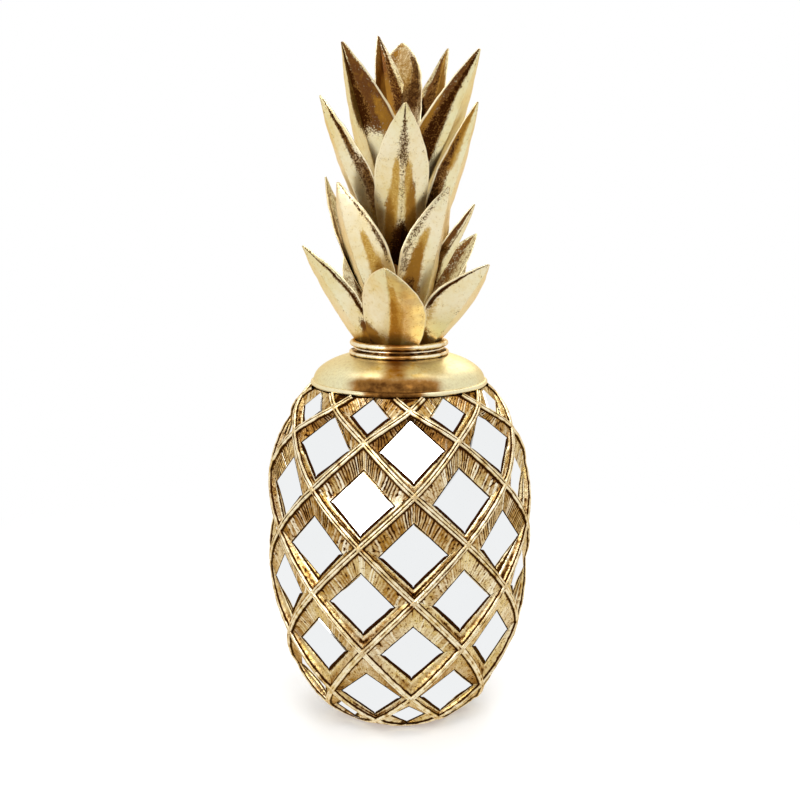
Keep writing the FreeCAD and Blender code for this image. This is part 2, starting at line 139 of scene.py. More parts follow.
# Foot, cap, collar and crown
PAD_ROOM_RADIUS = 21.8 * MM
PAD_ROOM_TOP = 2.0 * MM
FOOT_GRIT = 0.25 * MM
CAP_SEAT = 151.2 * MM
CAP_RADIUS = 39.3 * MM
CAP_RIM = 2.2 * MM
CAP_RIM_STEP = 1.3 * MM
CAP_RISE = 13.5 * MM
COLLAR_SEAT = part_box("neck_collar")[0].z
COLLAR_BEADS = ((22.2 * MM, 2.1 * MM), (19.9 * MM, 1.7 * MM), (21.9 * MM, 2.7 * MM))
BEAD_NICK = 0.35 * MM
COLLAR_DISH_RADIUS = 19.4 * MM
STEM_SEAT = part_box("crown_stem")[0].z
STEM_FOOT_RADIUS = 12.5 * MM
STEM_TOP_RADIUS = 4.0 * MM
STEM_HEIGHT = 80.0 * MM
CROWN_HEIGHT = 304.0 * MM - STEM_SEAT
LEAF_REACH = 50.0 * MM
LEAF_HALF_WIDTH = 15.0 * MM
LEAF_ROOT_DEPTH = 2.0 * MM
LOW_LEAF_ROOT_RADIUS = 14.0 * MM
ROOT_WIDTH_SHARE = 0.45
LOW_ROOT_WIDTH_SHARE = 0.75
TIP_WIDTH_SHARE = 0.05
LEAF_RIM = 0.12 * MM
LEAF_NIBBLE = 0.35 * MM

# Leaves: direction of the root round from the front, drift of the tip, roll about the keel, root
# and tip height shares, reach share, half width share, fold, bow, widest place and taper power
LEAVES = {
    "leaf_low_front": (-20, 13, 0, 0.0, 0.265, 0.90, 1.0, 0.26, -0.20, 0.42, 1.80),
    "leaf_low_left": (-72, -5, 18, 0.0, 0.320, 0.85, 0.77, 0.20, -0.05, 0.44, 1.65),
    "leaf_low_right": (58, 4, -13, 0.0, 0.264, 0.86, 0.92, 0.45, 0.10, 0.48, 1.75),
    "leaf_low_back_right": (130, 0, 0, 0.0, 0.27, 0.80, 0.85, 0.35, 0.05, 0.45, 1.75),
    "leaf_low_back_left": (-140, 0, 0, 0.0, 0.29, 0.76, 0.85, 0.35, 0.05, 0.45, 1.70),
    "leaf_second_front_left": (-49, -1, 3, 0.07, 0.518, 0.67, 0.95, 0.50, 0.22, 0.50, 1.68),
    "leaf_second_front_right": (46, 0, -1, 0.05, 0.505, 0.58, 0.92, 0.52, 0.10, 0.53, 1.65),
    "leaf_second_left": (-101, -1, -5, 0.09, 0.537, 0.66, 0.70, 0.24, 0.40, 0.56, 1.75),
    "leaf_second_right": (80, 0, -10, 0.12, 0.450, 0.66, 0.72, 0.36, 0.15, 0.46, 1.65),
    "leaf_second_back_right": (120, 2, 6, 0.05, 0.348, 0.83, 0.75, 0.24, -0.05, 0.47, 2.4),
    "leaf_second_back": (-163, 0, 0, 0.06, 0.50, 0.60, 0.85, 0.40, 0.10, 0.48, 1.68),
    "leaf_third_front": (2, 1, 3, 0.24, 0.745, 0.94, 0.76, 0.44, -0.04, 0.56, 1.65),
    "leaf_third_left": (-59, 0, 4, 0.28, 0.780, 0.76, 0.78, 0.36, 0.15, 0.49, 1.65),
    "leaf_third_right": (70, 1, -12, 0.20, 0.765, 0.70, 0.78, 0.32, 0.16, 0.54, 1.75),
    "leaf_third_back_right": (142, 0, 0, 0.24, 0.70, 0.60, 0.75, 0.36, 0.10, 0.50, 1.68),
    "leaf_third_back_left": (-142, 0, 0, 0.22, 0.71, 0.62, 0.75, 0.36, 0.10, 0.50, 1.68),
    "leaf_top_front_left": (-40, 1, -1, 0.38, 0.931, 0.73, 0.97, 0.46, 0.0, 0.41, 1.65),
    "leaf_top_front_right": (51, 0, -7, 0.38, 0.912, 0.84, 0.90, 0.41, 0.08, 0.43, 1.75),
    "leaf_top_back_right": (120, 1, 5, 0.44, 0.944, 0.50, 0.76, 0.36, 0.10, 0.47, 1.70),
    "leaf_top_back_left": (-158, -6, 20, 0.48, 1.0, 0.69, 0.80, 0.46, -0.04, 0.41, 1.65),
    "leaf_top_back": (174, 4, -12, 0.54, 0.985, 0.86, 0.80, 0.46, -0.08, 0.48, 2.6),
}

# Washes on the leaves, partly tarnish and partly painted shade and reflection: the wash, where its
# stroke starts and ends as shares along the leaf and across it (-1 and 1 are the edges, 1 clockwise
# seen from above), its half width across and its strength
LEAF_TARNISH_AND_SHADE = {
    "leaf_low_front": (
        ("amber", 0.9, 0.1, 0.4, 0.3, 0.3, 0.42), ("umber", 0.5, 0.12, 0.02, 0.22, 0.2, 0.8),
        ("amber", 0.66, 0.16, 0.02, 0.26, 0.26, 1), ("amber", 0.6, 0.6, 0.02, 0.6, 0.6, 0.26),
        ("amber", 0.14, 0.4, 0.02, 0.5, 0.7, 0.7), ("umber", 0.05, -0.9, 0, 0, 1.2, 0.95)),
    "leaf_low_left": (
        ("dark_speckle", 0.97, 0.7, 0.35, 0.8, 0.1, 1), ("umber", 0.6, 0.9, 0.3, 0.9, 0.12, 0.6),
        ("umber", 0.14, 0.6, 0, 0.3, 0.6, 1)),
    "leaf_low_right": (
        ("dark_speckle", 0.97, -0.86, 0.5, -0.9, 0.08, 0.9), ("amber", 0.42, -0.8, 0.18, -0.8, 0.3, 0.55),
        ("umber", 0.08, -0.6, 0, -0.3, 0.6, 0.9)),
    "leaf_low_back_right": (
        ("umber", 0.6, 0.5, 0.1, 0.4, 0.5, 0.8), ("dark_speckle", 0.95, 0, 0.5, 0, 0.15, 0.7)),
    "leaf_low_back_left": (
        ("umber", 0.7, -0.5, 0.1, -0.4, 0.5, 0.8), ("dark_speckle", 0.9, 0.2, 0.5, 0.1, 0.15, 0.7)),
    "leaf_second_front_left": (
        ("dark_speckle", 0.97, 0.78, 0.56, 0.92, 0.09, 0.6), ("amber", 0.56, 0.5, 0.22, 0.62, 0.28, 1),
        ("umber", 0.32, 0.62, 0.1, 0.55, 0.36, 0.6)),
    "leaf_second_front_right": (
        ("dark_speckle", 0.9, -0.78, 0.5, -0.86, 0.2, 0.42), ("amber", 0.6, -0.52, 0.16, -0.62, 0.32, 1),
        ("umber", 0.5, -0.55, 0.1, -0.6, 0.34, 0.95), ("dark_speckle", 0.26, -0.6, 0.1, -0.5, 0.4, 0.8),
        ("dark_speckle", 0.6, 0.8, 0.3, 0.8, 0.16, 0.7)),
    "leaf_second_left": (
        ("dark_speckle", 0.92, 0.5, 0.6, 0.6, 0.28, 0.8), ("umber", 0.45, 0.5, 0.1, 0.5, 0.6, 0.9),
        ("dark_speckle", 0.42, 0.6, 0.2, 0.6, 0.6, 0.9)),
    "leaf_second_right": (
        ("umber", 0.92, -0.85, 0.3, -0.85, 0.42, 1), ("dark_speckle", 0.5, -0.7, 0.2, -0.5, 0.6, 0.9),
        ("dark_speckle", 0.8, -0.45, 0.5, -0.45, 0.12, 0.7)),
    "leaf_second_back_right": (
        ("umber", 0.88, 0.2, 0.3, 0.2, 0.8, 0.75), ("dark_speckle", 0.7, 0.5, 0.3, 0.4, 0.3, 0.7)),
    "leaf_second_back": (
        ("umber", 0.8, -0.4, 0.1, -0.3, 0.5, 0.8), ("dark_speckle", 0.95, 0.1, 0.6, 0, 0.18, 0.8)),
    "leaf_third_front": (
        ("amber", 0.57, -0.24, 0.2, -0.5, 0.3, 1), ("amber", 0.56, 0.22, 0.2, 0.5, 0.32, 1),
        ("umber", 0.44, 0.36, 0.1, 0.46, 0.34, 0.85),
        ("umber", 0.34, -0.46, 0.1, -0.46, 0.34, 0.85), ("dark_speckle", 1, 0, 0.76, 0, 0.26, 0.6),
        ("dark_speckle", 0.76, 0, 0.5, 0, 0.14, 0.3), ("dark_speckle", 0.18, 0, 0, 0, 1, 1)),
    "leaf_third_left": (
        ("dark_speckle", 0.97, 0.74, 0.74, 0.7, 0.1, 0.95), ("dark_speckle", 0.78, 0.62, 0.4, 0.74, 0.28, 0.7),
        ("amber", 0.46, 0.8, 0.2, 0.7, 0.5, 0.7), ("umber", 0.52, 0.9, 0.2, 0.9, 0.4, 0.7)),
    "leaf_third_right": (
        ("amber", 0.98, -0.72, 0.72, -0.72, 0.4, 0.95),
        ("umber", 0.86, -0.76, 0.2, -0.78, 0.4, 0.85),
        ("dark_speckle", 0.7, -0.74, 0.38, -0.78, 0.34, 0.75)),
    "leaf_third_back_right": (
        ("umber", 0.8, 0.4, 0.1, 0.4, 0.6, 0.9), ("dark_speckle", 0.95, 0, 0.4, 0, 0.16, 0.8)),
    "leaf_third_back_left": (
        ("umber", 0.9, -0.5, 0.1, -0.4, 0.55, 0.9), ("dark_speckle", 0.9, -0.1, 0.4, 0, 0.16, 0.8)),
    "leaf_top_front_left": (
        ("umber", 0.97, 0.52, 0.64, 0.56, 0.58, 1), ("umber", 0.66, 0.66, 0.38, 0.95, 0.4, 0.95),
        ("dark_speckle", 1, -0.1, 0.66, -0.06, 0.42, 1), ("amber", 0.6, 0.72, 0.3, 0.9, 0.42, 0.8)),
    "leaf_top_front_right": (
        ("umber", 0.97, -0.76, 0.44, -0.86, 0.5, 0.9), ("dark_speckle", 0.86, -0.52, 0.42, -0.52, 0.3, 1),
        ("amber", 0.62, -0.95, 0.44, -0.92, 0.36, 0.9),
        ("dark_speckle", 0.98, -0.36, 0.84, -0.42, 0.18, 0.45)),
    "leaf_top_back_right": (
        ("umber", 0.86, 0.36, 0.4, 0.4, 0.56, 1), ("dark_speckle", 0.76, 0.3, 0.5, 0.4, 0.5, 0.72),
        ("amber", 0.97, 0, 0.76, -0.3, 0.55, 1)),
    "leaf_top_back_left": (
        ("umber", 0.97, 0.3, 0.6, 0.4, 1.1, 1), ("dark_speckle", 0.95, -0.45, 0.56, -0.52, 0.3, 0.85),
        ("amber", 0.62, 0, 0.38, -0.2, 1, 0.9)),
    "leaf_top_back": (
        ("umber", 1, 0.5, 0.76, 0.5, 0.4, 0.7), ("amber", 1, 0, 0.5, 0, 1.6, 0.62),
        ("dark_speckle", 0.76, -0.76, 0.52, -0.6, 0.32, 0.8), ("dark_speckle", 0.56, 0, 0.42, 0, 1, 0.6)),
}
# Painted shade: umber on every leaf's inner face
INNER_FACE_SHADE = 0.42
# Length over which a stroke runs out past its ends, as a share of the leaf
WASH_RUNOUT = 0.12
# Strength of the fine unevenness that the metal's nodes add
BUMP_STRENGTH = 0.5

# Mesh steps
WALL_STEPS = 126
COMBS_PER_WALL = 18
BAND_ROWS, BAND_COLUMNS = 8, 12
RIB_STEPS = 260
KNOB_SIDES = 20
FOOT_ROWS, FOOT_COLUMNS = 8, 24
LATHE_STEPS = 192
LEAF_STEPS = 56
# Places of a wall's points from the rib to the tile, and of a leaf's from the keel to its edge
WALL_COLUMNS = (0.0, 0.06, 0.16, 0.28, 0.4, 0.52, 0.64, 0.76, 0.87, 0.95, 1.0)
BLADE_COLUMNS = (0.0, 0.03, 0.1, 0.2, 0.32, 0.44, 0.56, 0.68, 0.78, 0.86, 0.92, 0.965, 1.0)

# Studio: the floor, and for each lamp its direction round from the front to the right, its
# elevation, distance, size and power
WHITE, BLACK = (1.0, 1.0, 1.0), (0.0, 0.0, 0.0)
FLOOR_REACH = 3.0
FLOOR_TONES = ((0.8, 0.8, 0.8), (0.84, 0.84, 0.83))
FLOOR_GLOW = (0.28, 0.28, 0.28)
LAMP_AIM = 0.14
LAMPS = {
    "key": (-32, 12, 1.2, 0.6, 5.15),
    "front": (15, 48, 1.2, 0.66, 5.7),
    "top_left": (-130, 69, 1.2, 0.42, 2.4),
    "top_right": (130, 69, 1.2, 0.42, 2.4),
    "back": (165, 35, 1.4, 0.8, 3.0),
}
# Camera: sensor and lens in millimetres, and one pixel of an 800 pixel frame
SENSOR_WIDTH = 36.0
LENS = 54.0
ONE_PIXEL = 1 / 800


def metres(name, description, default):
    return FloatProperty(name=name, description=description, default=default,
                         unit="LENGTH", subtype="DISTANCE")


def tinted(name, description, default):
    return FloatVectorProperty(name=name, description=description, default=default,
                               subtype="COLOR")


class PineappleSizes(bpy.types.PropertyGroup):
    """Sizes of the fine modelling that a user would change."""

    bead_height: metres("Rib bead height", "How far a rib's beads stand out", 0.8 * MM)
    comb_depth: metres("Comb depth", "Depth of the grooves in the cells' upper walls", 0.5 * MM)
    knob_width: metres("Knob width", "Width of the boss on each crossing of the ribs", 2.7 * MM)
    leaf_thickness: metres("Leaf thickness", "Thickness of a leaf at its keel", 1.2 * MM)
    leaf_wave: metres("Leaf wave", "Hand-beaten unevenness of the leaves", 0.35 * MM)


class PineappleColours(bpy.types.PropertyGroup):
    """Colours of the finishes."""

    champagne: tinted("Champagne gold", "Bright leafed metal", (0.95, 0.83, 0.55))
    # Polished gold: worn high spots, also painted on ridges and crests as painted highlight.
    polished_highlight: tinted("Polished gold", "Worn high spots", (0.98, 0.9, 0.68))
    pale: tinted("Pale gold", "Greener leafed metal of the cap and leaves", (0.82, 0.77, 0.49))
    blush: tinted("Blush gold", "Warmer leafed metal that drifts over the leaves",
                  (0.885, 0.785, 0.545))
    honey: tinted("Honey gold", "Deeper colour where the leaf is thin", (0.76, 0.56, 0.175))
    amber: tinted("Amber", "Warm stain low on the leaves and walls", (0.38, 0.18, 0.02))
    bronze: tinted("Bronze", "Thin wash over the leafed metal", (0.28, 0.13, 0.03))
    umber: tinted("Umber", "Red-brown shade on the faces of the leaves", (0.125, 0.046, 0.012))
    patina: tinted("Patina", "Dark wash left in the grooves", (0.038, 0.010, 0.0015))
    edge_tint: tinted("Edge tint", "Tint of the metal's reflections at grazing angles",
                      (0.97, 0.76, 0.5))
    mirror: tinted("Mirror", "Silvered glass", (0.86, 0.875, 0.885))
    haze: tinted("Mirror haze", "Faint clouds in the silvering", (0.84, 0.85, 0.85))
    dust: tinted("Mirror dust", "Fine specks on the glass", (0.45, 0.46, 0.46))
    steel: tinted("Plated steel", "Rod, washer and nut", (0.62, 0.6, 0.57))
    felt: tinted("Felt", "Pad under the foot", (0.035, 0.03, 0.027))


class PineappleStudio(bpy.types.PropertyGroup):
    """Camera and surroundings."""

    distance: metres("Camera distance", "From the middle of the ornament to the lens", 0.5365)
    aim_height: metres("Aim height", "Height that the camera looks at", 0.1435)
    elevation: FloatProperty(
        name="Camera elevation", description="Camera angle above the horizon",
        default=math.radians(10.15), unit="ROTATION", subtype="ANGLE")
    ambient: FloatProperty(
        name="Ambient", description="Strength of the white surroundings on matt surfaces",
        default=0.7, subtype="FACTOR")
    flag_colour: tinted("Flag", "Dim room behind the camera, seen in the metal",
                        (0.16, 0.11, 0.06))


class Field:
    """A shader socket that takes part in arithmetic."""

    def __init__(self, paint, socket):
        self.paint, self.socket = paint, socket

    def math(self, operation, *values):
        return self.paint.node("ShaderNodeMath", {"operation": operation}, dict(enumerate(values)))

    def __add__(self, other):
        return self.math("ADD", self, other)

    def __sub__(self, other):
        return self.math("SUBTRACT", self, other)

    def __rsub__(self, other):
        return self.math("SUBTRACT", other, self)

    def __mul__(self, other):
        return self.math("MULTIPLY", self, other)

    __radd__, __rmul__ = __add__, __mul__

    def larger(self, other):
        return self.math("MAXIMUM", self, other)

    def clamped(self):
        return self.math("MINIMUM", self.larger(0.0), 1.0)

    def between(self, low, high):
        """Smooth step from 0 at low to 1 at high."""
        return self.paint.node("ShaderNodeMapRange", {"interpolation_type": "SMOOTHSTEP"},
                               {"Value": self, "From Min": low, "From Max": high})


class Paint:
    """The nodes of a material, or of a world, under construction."""

    def __init__(self, name, library="materials"):
        self.owner = getattr(bpy.data, library).new(name)
        self.owner.use_nodes = True
        self.tree = self.owner.node_tree
        self.tree.nodes.clear()

    def node(self, kind, settings=None, inputs=None, output=0):
        """Adds a node: settings first, then the values or links of its sockets."""
        made = self.tree.nodes.new(kind)
        for key, value in (settings or {}).items():
            setattr(made, key, value)
        for key, value in (inputs or {}).items():
            if isinstance(value, Field):
                self.tree.links.new(value.socket, made.inputs[key])
            else:
                made.inputs[key].default_value = value
        return Field(self, made.outputs[output]) if made.outputs else None

    def place(self):
        """Position on the object, in metres."""
        return self.node("ShaderNodeTexCoord", output="Object")

    def grain(self, place, scale, detail=2.0, roughness=0.5):
        """Noise from 0 to 1, its scale in features per metre."""
        return self.node("ShaderNodeTexNoise", None, {
            "Vector": place, "Scale": scale, "Detail": detail, "Roughness": roughness})

    def stretched(self, place, scale):
        return self.node("ShaderNodeMapping", None, {"Vector": place, "Scale": scale})

    def shares(self, *names):
        """Shares that the mesh carries for each point."""
        return [self.node("ShaderNodeAttribute", {"attribute_name": name}, output="Fac")
                for name in names]

    def rays(self):
        """Whether a ray comes from the camera, from a glossy surface or through glass."""
        return [self.node("ShaderNodeLightPath", output=name)
                for name in ("Is Camera Ray", "Is Glossy Ray", "Is Transmission Ray")]

    def blend(self, share, low, high):
        """Colour between two colours."""
        low, high = (c if isinstance(c, Field) else (*c, 1.0) for c in (low, high))
        return self.node("ShaderNodeMix", {"data_type": "RGBA"}, {0: share, 6: low, 7: high}, 2)

    def darkened(self, metal, dark, colours):
        """Metal under a wash that goes through bronze to the dark of the recesses."""
        metal = self.blend(dark.between(0.0, 0.55), metal, colours.bronze)
        return self.blend(dark.between(0.4, 1.0), metal, colours.patina)

    def bump(self, height, strength, distance):
        return self.node("ShaderNodeBump", None, {
            "Height": height, "Strength": strength, "Distance": distance})

    def surface(self, **inputs):
        """Ends the material in one surface shader and returns the material."""
        inputs = {key.replace("_", " "): value for key, value in inputs.items()}
        shader = self.node("ShaderNodeBsdfPrincipled", None, inputs)
        self.node("ShaderNodeOutputMaterial", None, {"Surface": shader})
        return self.owner


def leafed_gold(paint, colours, recess, stain, polish_and_highlight, scale, base=None, rough=0.26, fleck=0.5,
                grain_depth=0.12, warmth=1.0, stipple=0.25):
    """Leafed metal that clouds to honey, stained, washed dark in recesses and polished on high
    spots, all partly painted light.
    """
    place = paint.place()
    cloud = paint.grain(place, scale * 0.05, 3.0)
    mottle = paint.grain(place, scale * 0.45, 4.0, 0.65)
    fine = paint.grain(place, scale * 1.6, 3.0, 0.7)
    warm = (cloud.between(0.34, 0.64) * 0.5 + mottle.between(0.42, 0.7) * 0.45) * warmth
    metal = paint.blend(warm.clamped(), base or colours.champagne, colours.honey)
    metal = paint.blend((stain * (0.2 + mottle * 1.6)).clamped(), metal, colours.amber)
    metal = paint.blend(fine.between(0.44, 0.6) * stipple, metal, colours.bronze)
    metal = paint.blend((polish_and_highlight * (0.5 + mottle)).clamped(), metal, colours.polished_highlight)
    wash = (recess * (0.35 + mottle * 1.3)).clamped()
    flecks = fine.between(0.58, 0.66) * mottle.between(0.40, 0.60) * fleck
    dark = wash.larger(flecks).clamped()
    metal = paint.darkened(metal, dark, colours)
    roughness = (rough + mottle * 0.12 + dark * 0.25 + fine * 0.06).clamped()
    height = fine * 0.5 + mottle * 0.8 - flecks * 0.8
    return paint.surface(
        Base_Color=metal, Metallic=1.0, Roughness=roughness,
        Specular_Tint=(*colours.edge_tint, 1.0),
        Normal=paint.bump(height, BUMP_STRENGTH, grain_depth * MM))


def ramp(value, start, end):
    """Share of the way from start to end, held between 0 and 1."""
    return min(max((value - start) / (end - start), 0.0), 1.0)


def hump(value, centre, width, power=2):
    """1 at the centre, falling to 0 past the width; a higher power makes it squarer."""
    return math.exp(-((value - centre) / width) ** power)


def wavering(point, size, seed=0.0):
    """Smooth unevenness from -1 to 1 with features of the given size."""
    return noise.noise(point / size + Vector((seed, seed * 1.7, seed * 0.6)))


def body_radius(z):
    if z > WIDEST_HEIGHT:
        share, power = (z - WIDEST_HEIGHT) / UPPER_RISE, UPPER_ROUNDNESS
    else:
        share, power = (WIDEST_HEIGHT - z) / LOWER_DROP, LOWER_ROUNDNESS
    return BODY_RADIUS * max(1 - share ** power, 0) ** (1 / power)


def surface_frame(turn, z):
    """Point of the lattice surface, its outward normal and the direction round it."""
    step = 0.2 * MM
    slope = (body_radius(z + step) - body_radius(z - step)) / (2 * step)
    c, s = math.cos(math.radians(turn)), math.sin(math.radians(turn))
    radius = body_radius(z)
    normal = Vector((c, s, -slope)).normalized()
    return Vector((radius * c, radius * s, z)), normal, Vector((-s, c, 0))


def surface_point(turn, z, lift=0.0):
    place, normal, _ = surface_frame(turn, z)
    return place + normal * lift


def crossing_height(k):
    """Height of a rib after k half steps: a smooth curve through the crossings."""
    i = min(max(int(k), 0), LAST_CROSSING - 1)
    t = k - i
    a, b = CROSSING_SHARES[i], CROSSING_SHARES[i + 1]
    slope_a = (b - CROSSING_SHARES[i - 1]) / 2 if i else b - a
    slope_b = (CROSSING_SHARES[i + 2] - a) / 2 if i + 2 <= LAST_CROSSING else b - a
    share = (a * (1 + 2 * t) * (1 - t) ** 2 + b * t * t * (3 - 2 * t)
             + slope_a * t * (1 - t) ** 2 - slope_b * t * t * (1 - t))
    return max(LATTICE_HEIGHT * share, CELL_FOOT)


def cell_centre(place):
    """Turn of a cell's middle; places count half steps round from the front."""
    return LATTICE_TURN - 90 + place * HALF_STEP


def cell_corners(row, place):
    """Turn, height and crossing index of a cell's corners inside the ribs, from its top round."""
    lower, middle, upper = (LATTICE_HEIGHT * CROSSING_SHARES[row + k] for k in range(3))
    lower = max(lower, CELL_FOOT)
    wide = body_radius(middle) * math.sin(math.radians(HALF_STEP))
    tall = math.hypot(upper - lower, body_radius(upper) - body_radius(lower)) / 2
    slant = math.hypot(wide, tall)
    inset_turn = HALF_STEP * RIB_WIDTH / 2 * slant / (tall * wide)
    inset_rise = (upper - lower) * RIB_WIDTH / 2 * slant / (2 * wide * tall)
    centre = cell_centre(place)
    turn = HALF_STEP - inset_turn
    return [(centre, upper - inset_rise, row + 2), (centre + turn, middle, row + 1),
            (centre, lower + inset_rise, row), (centre - turn, middle, row + 1)]


def tile_lip(row, place):
    """Corners of the pocket's lip round a tile, and its outward direction."""
    side_share, height_share, depth_share, tilt = list(TILE_ROWS.values())[row]
    tilt = math.radians(tilt)
    out = Vector((math.cos(tilt), 0, math.sin(tilt)))
    rise = Vector((-math.sin(tilt), 0, math.cos(tilt)))
    half = (TILE_SIDE * side_share + 2 * TILE_GAP) / math.sqrt(2)
    rise, across = rise * half, Vector((0, half, 0))
    centre = surface_point(0, LATTICE_HEIGHT * height_share)
    centre -= out * (TILE_DEPTH * depth_share + TILE_PROUD)
    spin = Matrix.Rotation(math.radians(cell_centre(place)), 3, "Z")
    corners = (centre + rise, centre + across, centre - rise, centre - across)
    return [spin @ corner for corner in corners], spin @ out


def cell_places():
    """Row and place of every cell; neighbouring rows are staggered by half a cell."""
    for row in range(len(TILE_ROWS)):
        for k in range(CELLS_AROUND):
            yield row, row % 2 + 2 * k


def on_body(z):
    """Height kept between the foot and the cap's seat."""
    return min(max(z, CELL_FOOT), CAP_SEAT - SEAT_MARGIN)


class Shell:
    """Points, faces and shares of a mesh that grows piece by piece."""

    def __init__(self, *shares):
        self.points, self.faces = [], []
        self.shares = {name: [] for name in shares}

    def add(self, point, **shares):
        self.points.append(point)
        for name, values in self.shares.items():
            values.append(shares.get(name, 0.0))
        return len(self.points) - 1

    def grid(self, rows, closed=False, flip=False):
        """Faces between rows of point numbers."""
        for low, high in zip(rows, rows[1:]):
            count = len(low) if closed else len(low) - 1
            for i in range(count):
                j = (i + 1) % len(low)
                face = [low[i], low[j], high[j], high[i]]
                face = [p for n, p in enumerate(face) if p != face[n - 1]]
                if len(face) > 2:
                    self.faces.append(face[::-1] if flip else face)

    def piece(self, name, material, slot, *nodes):
        """Makes the mesh object, which rides on the part and stands for CAD nodes."""
        mesh = bpy.data.meshes.new(name)
        mesh.from_pydata(self.points, [], self.faces)
        for share, values in self.shares.items():
            mesh.attributes.new(share, "FLOAT", "POINT").data.foreach_set("value", values)
        mesh.materials.append(material)
        mesh.shade_smooth()
        mesh.update()
        made = bpy.data.objects.new(name, mesh)
        bpy.context.scene.collection.objects.link(made)
        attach(made, "root")
        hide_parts(*nodes)


class WallWork:
    """What the hand did on one wall of a cell: comb strokes, sand, washes and wear; also painted
    shadow and light.
    """

    def __init__(self, row, centre, upper, dice):
        strokes = range(COMBS_PER_WALL + 2)
        self.depths = [dice.uniform(0.4, 1.0) for _ in strokes]
        self.skews = [dice.uniform(-0.15, 0.15) for _ in strokes]
        self.gleams = [dice.random() for _ in strokes]
        self.sandy = dice.uniform(0.0, 0.9)
        tone = WALL_TONES[row] + dice.uniform(-0.22, 0.16) if upper else LOWER_WALL_TONE
        # Walls that face right carry less dark wash: painted light on that side.
        self.tone = tone - RIGHT_SIDE_PAINTED_LIGHT * max(math.cos(math.radians(centre)), 0.0)
        self.shadow, self.wet = dice.uniform(0.06, 0.18), dice.uniform(0.3, 1.3)
        self.combed = COMB_SHARES[row]
        self.glow = 1.3 - 0.55 * WALL_TONES[row]

    def upper(self, point, wall, t, from_top, comb_depth):
        """Upper wall: comb strokes run down the slope, with worn ridges between them, brightened
        partly as painted highlight.
        """
        phase = from_top * (1 + t * (0.175 - 0.35 * from_top)) * COMBS_PER_WALL
        phase += 0.25 * wavering(point, 4 * MM, 6.0)
        stroke = min(max(int(phase + 1), 0), COMBS_PER_WALL + 1)
        turned = phase + self.skews[stroke] * t
        cut = (0.5 - 0.5 * math.cos(2 * math.pi * turned)) ** COMB_SQUARENESS * self.depths[stroke]
        cut *= ramp(t, 0, 0.1) * ramp(t, 1, 0.92) * (1 - self.sandy * from_top)
        cut *= ramp(from_top, 0, 0.04) * ramp(from_top, 1, 0.95)
        ridge = self.gleams[min(max(round(phase), 0), COMBS_PER_WALL)]
        # Dark at the rib's edge, and a fainter painted shadow line along the tile's lip.
        return point - wall * (cut * comb_depth * self.combed), {
            "groove": max(cut * self.combed, 1 - t / 0.12, 0.7 - (1 - t) / 0.08),
            "gleam": ridge ** 2 * (1 - cut) * (0.4 + 0.6 * self.combed) * self.glow}

    def lower(self, point, wall, t, from_top):
        """Lower wall: a washed channel above a worn bead, dark at the rib and a painted shadow at
        the tile.
        """
        lined = 0.35 + 0.65 * self.combed
        worn = 1 + 0.6 * wavering(point, 2.5 * MM, 12.0) + 0.5 * wavering(point, 1.1 * MM, 13.0)
        channel = hump(t, 0.42, 0.22, 4) * (0.4 + 0.6 * lined)
        bead = hump(t, 0.78, 0.1) * lined
        edges = max(1 - t / 0.1, (1 - (1 - t) / self.shadow) * 1.5) * worn
        wash = channel * (0.2 + 0.5 * from_top) * worn * self.wet
        return point + wall * (WALL_BEAD * bead - WALL_CHANNEL * channel), {
            "groove": max(wash - 0.5 * bead, edges, 0.0), "gleam": 0.7 * bead * worn}


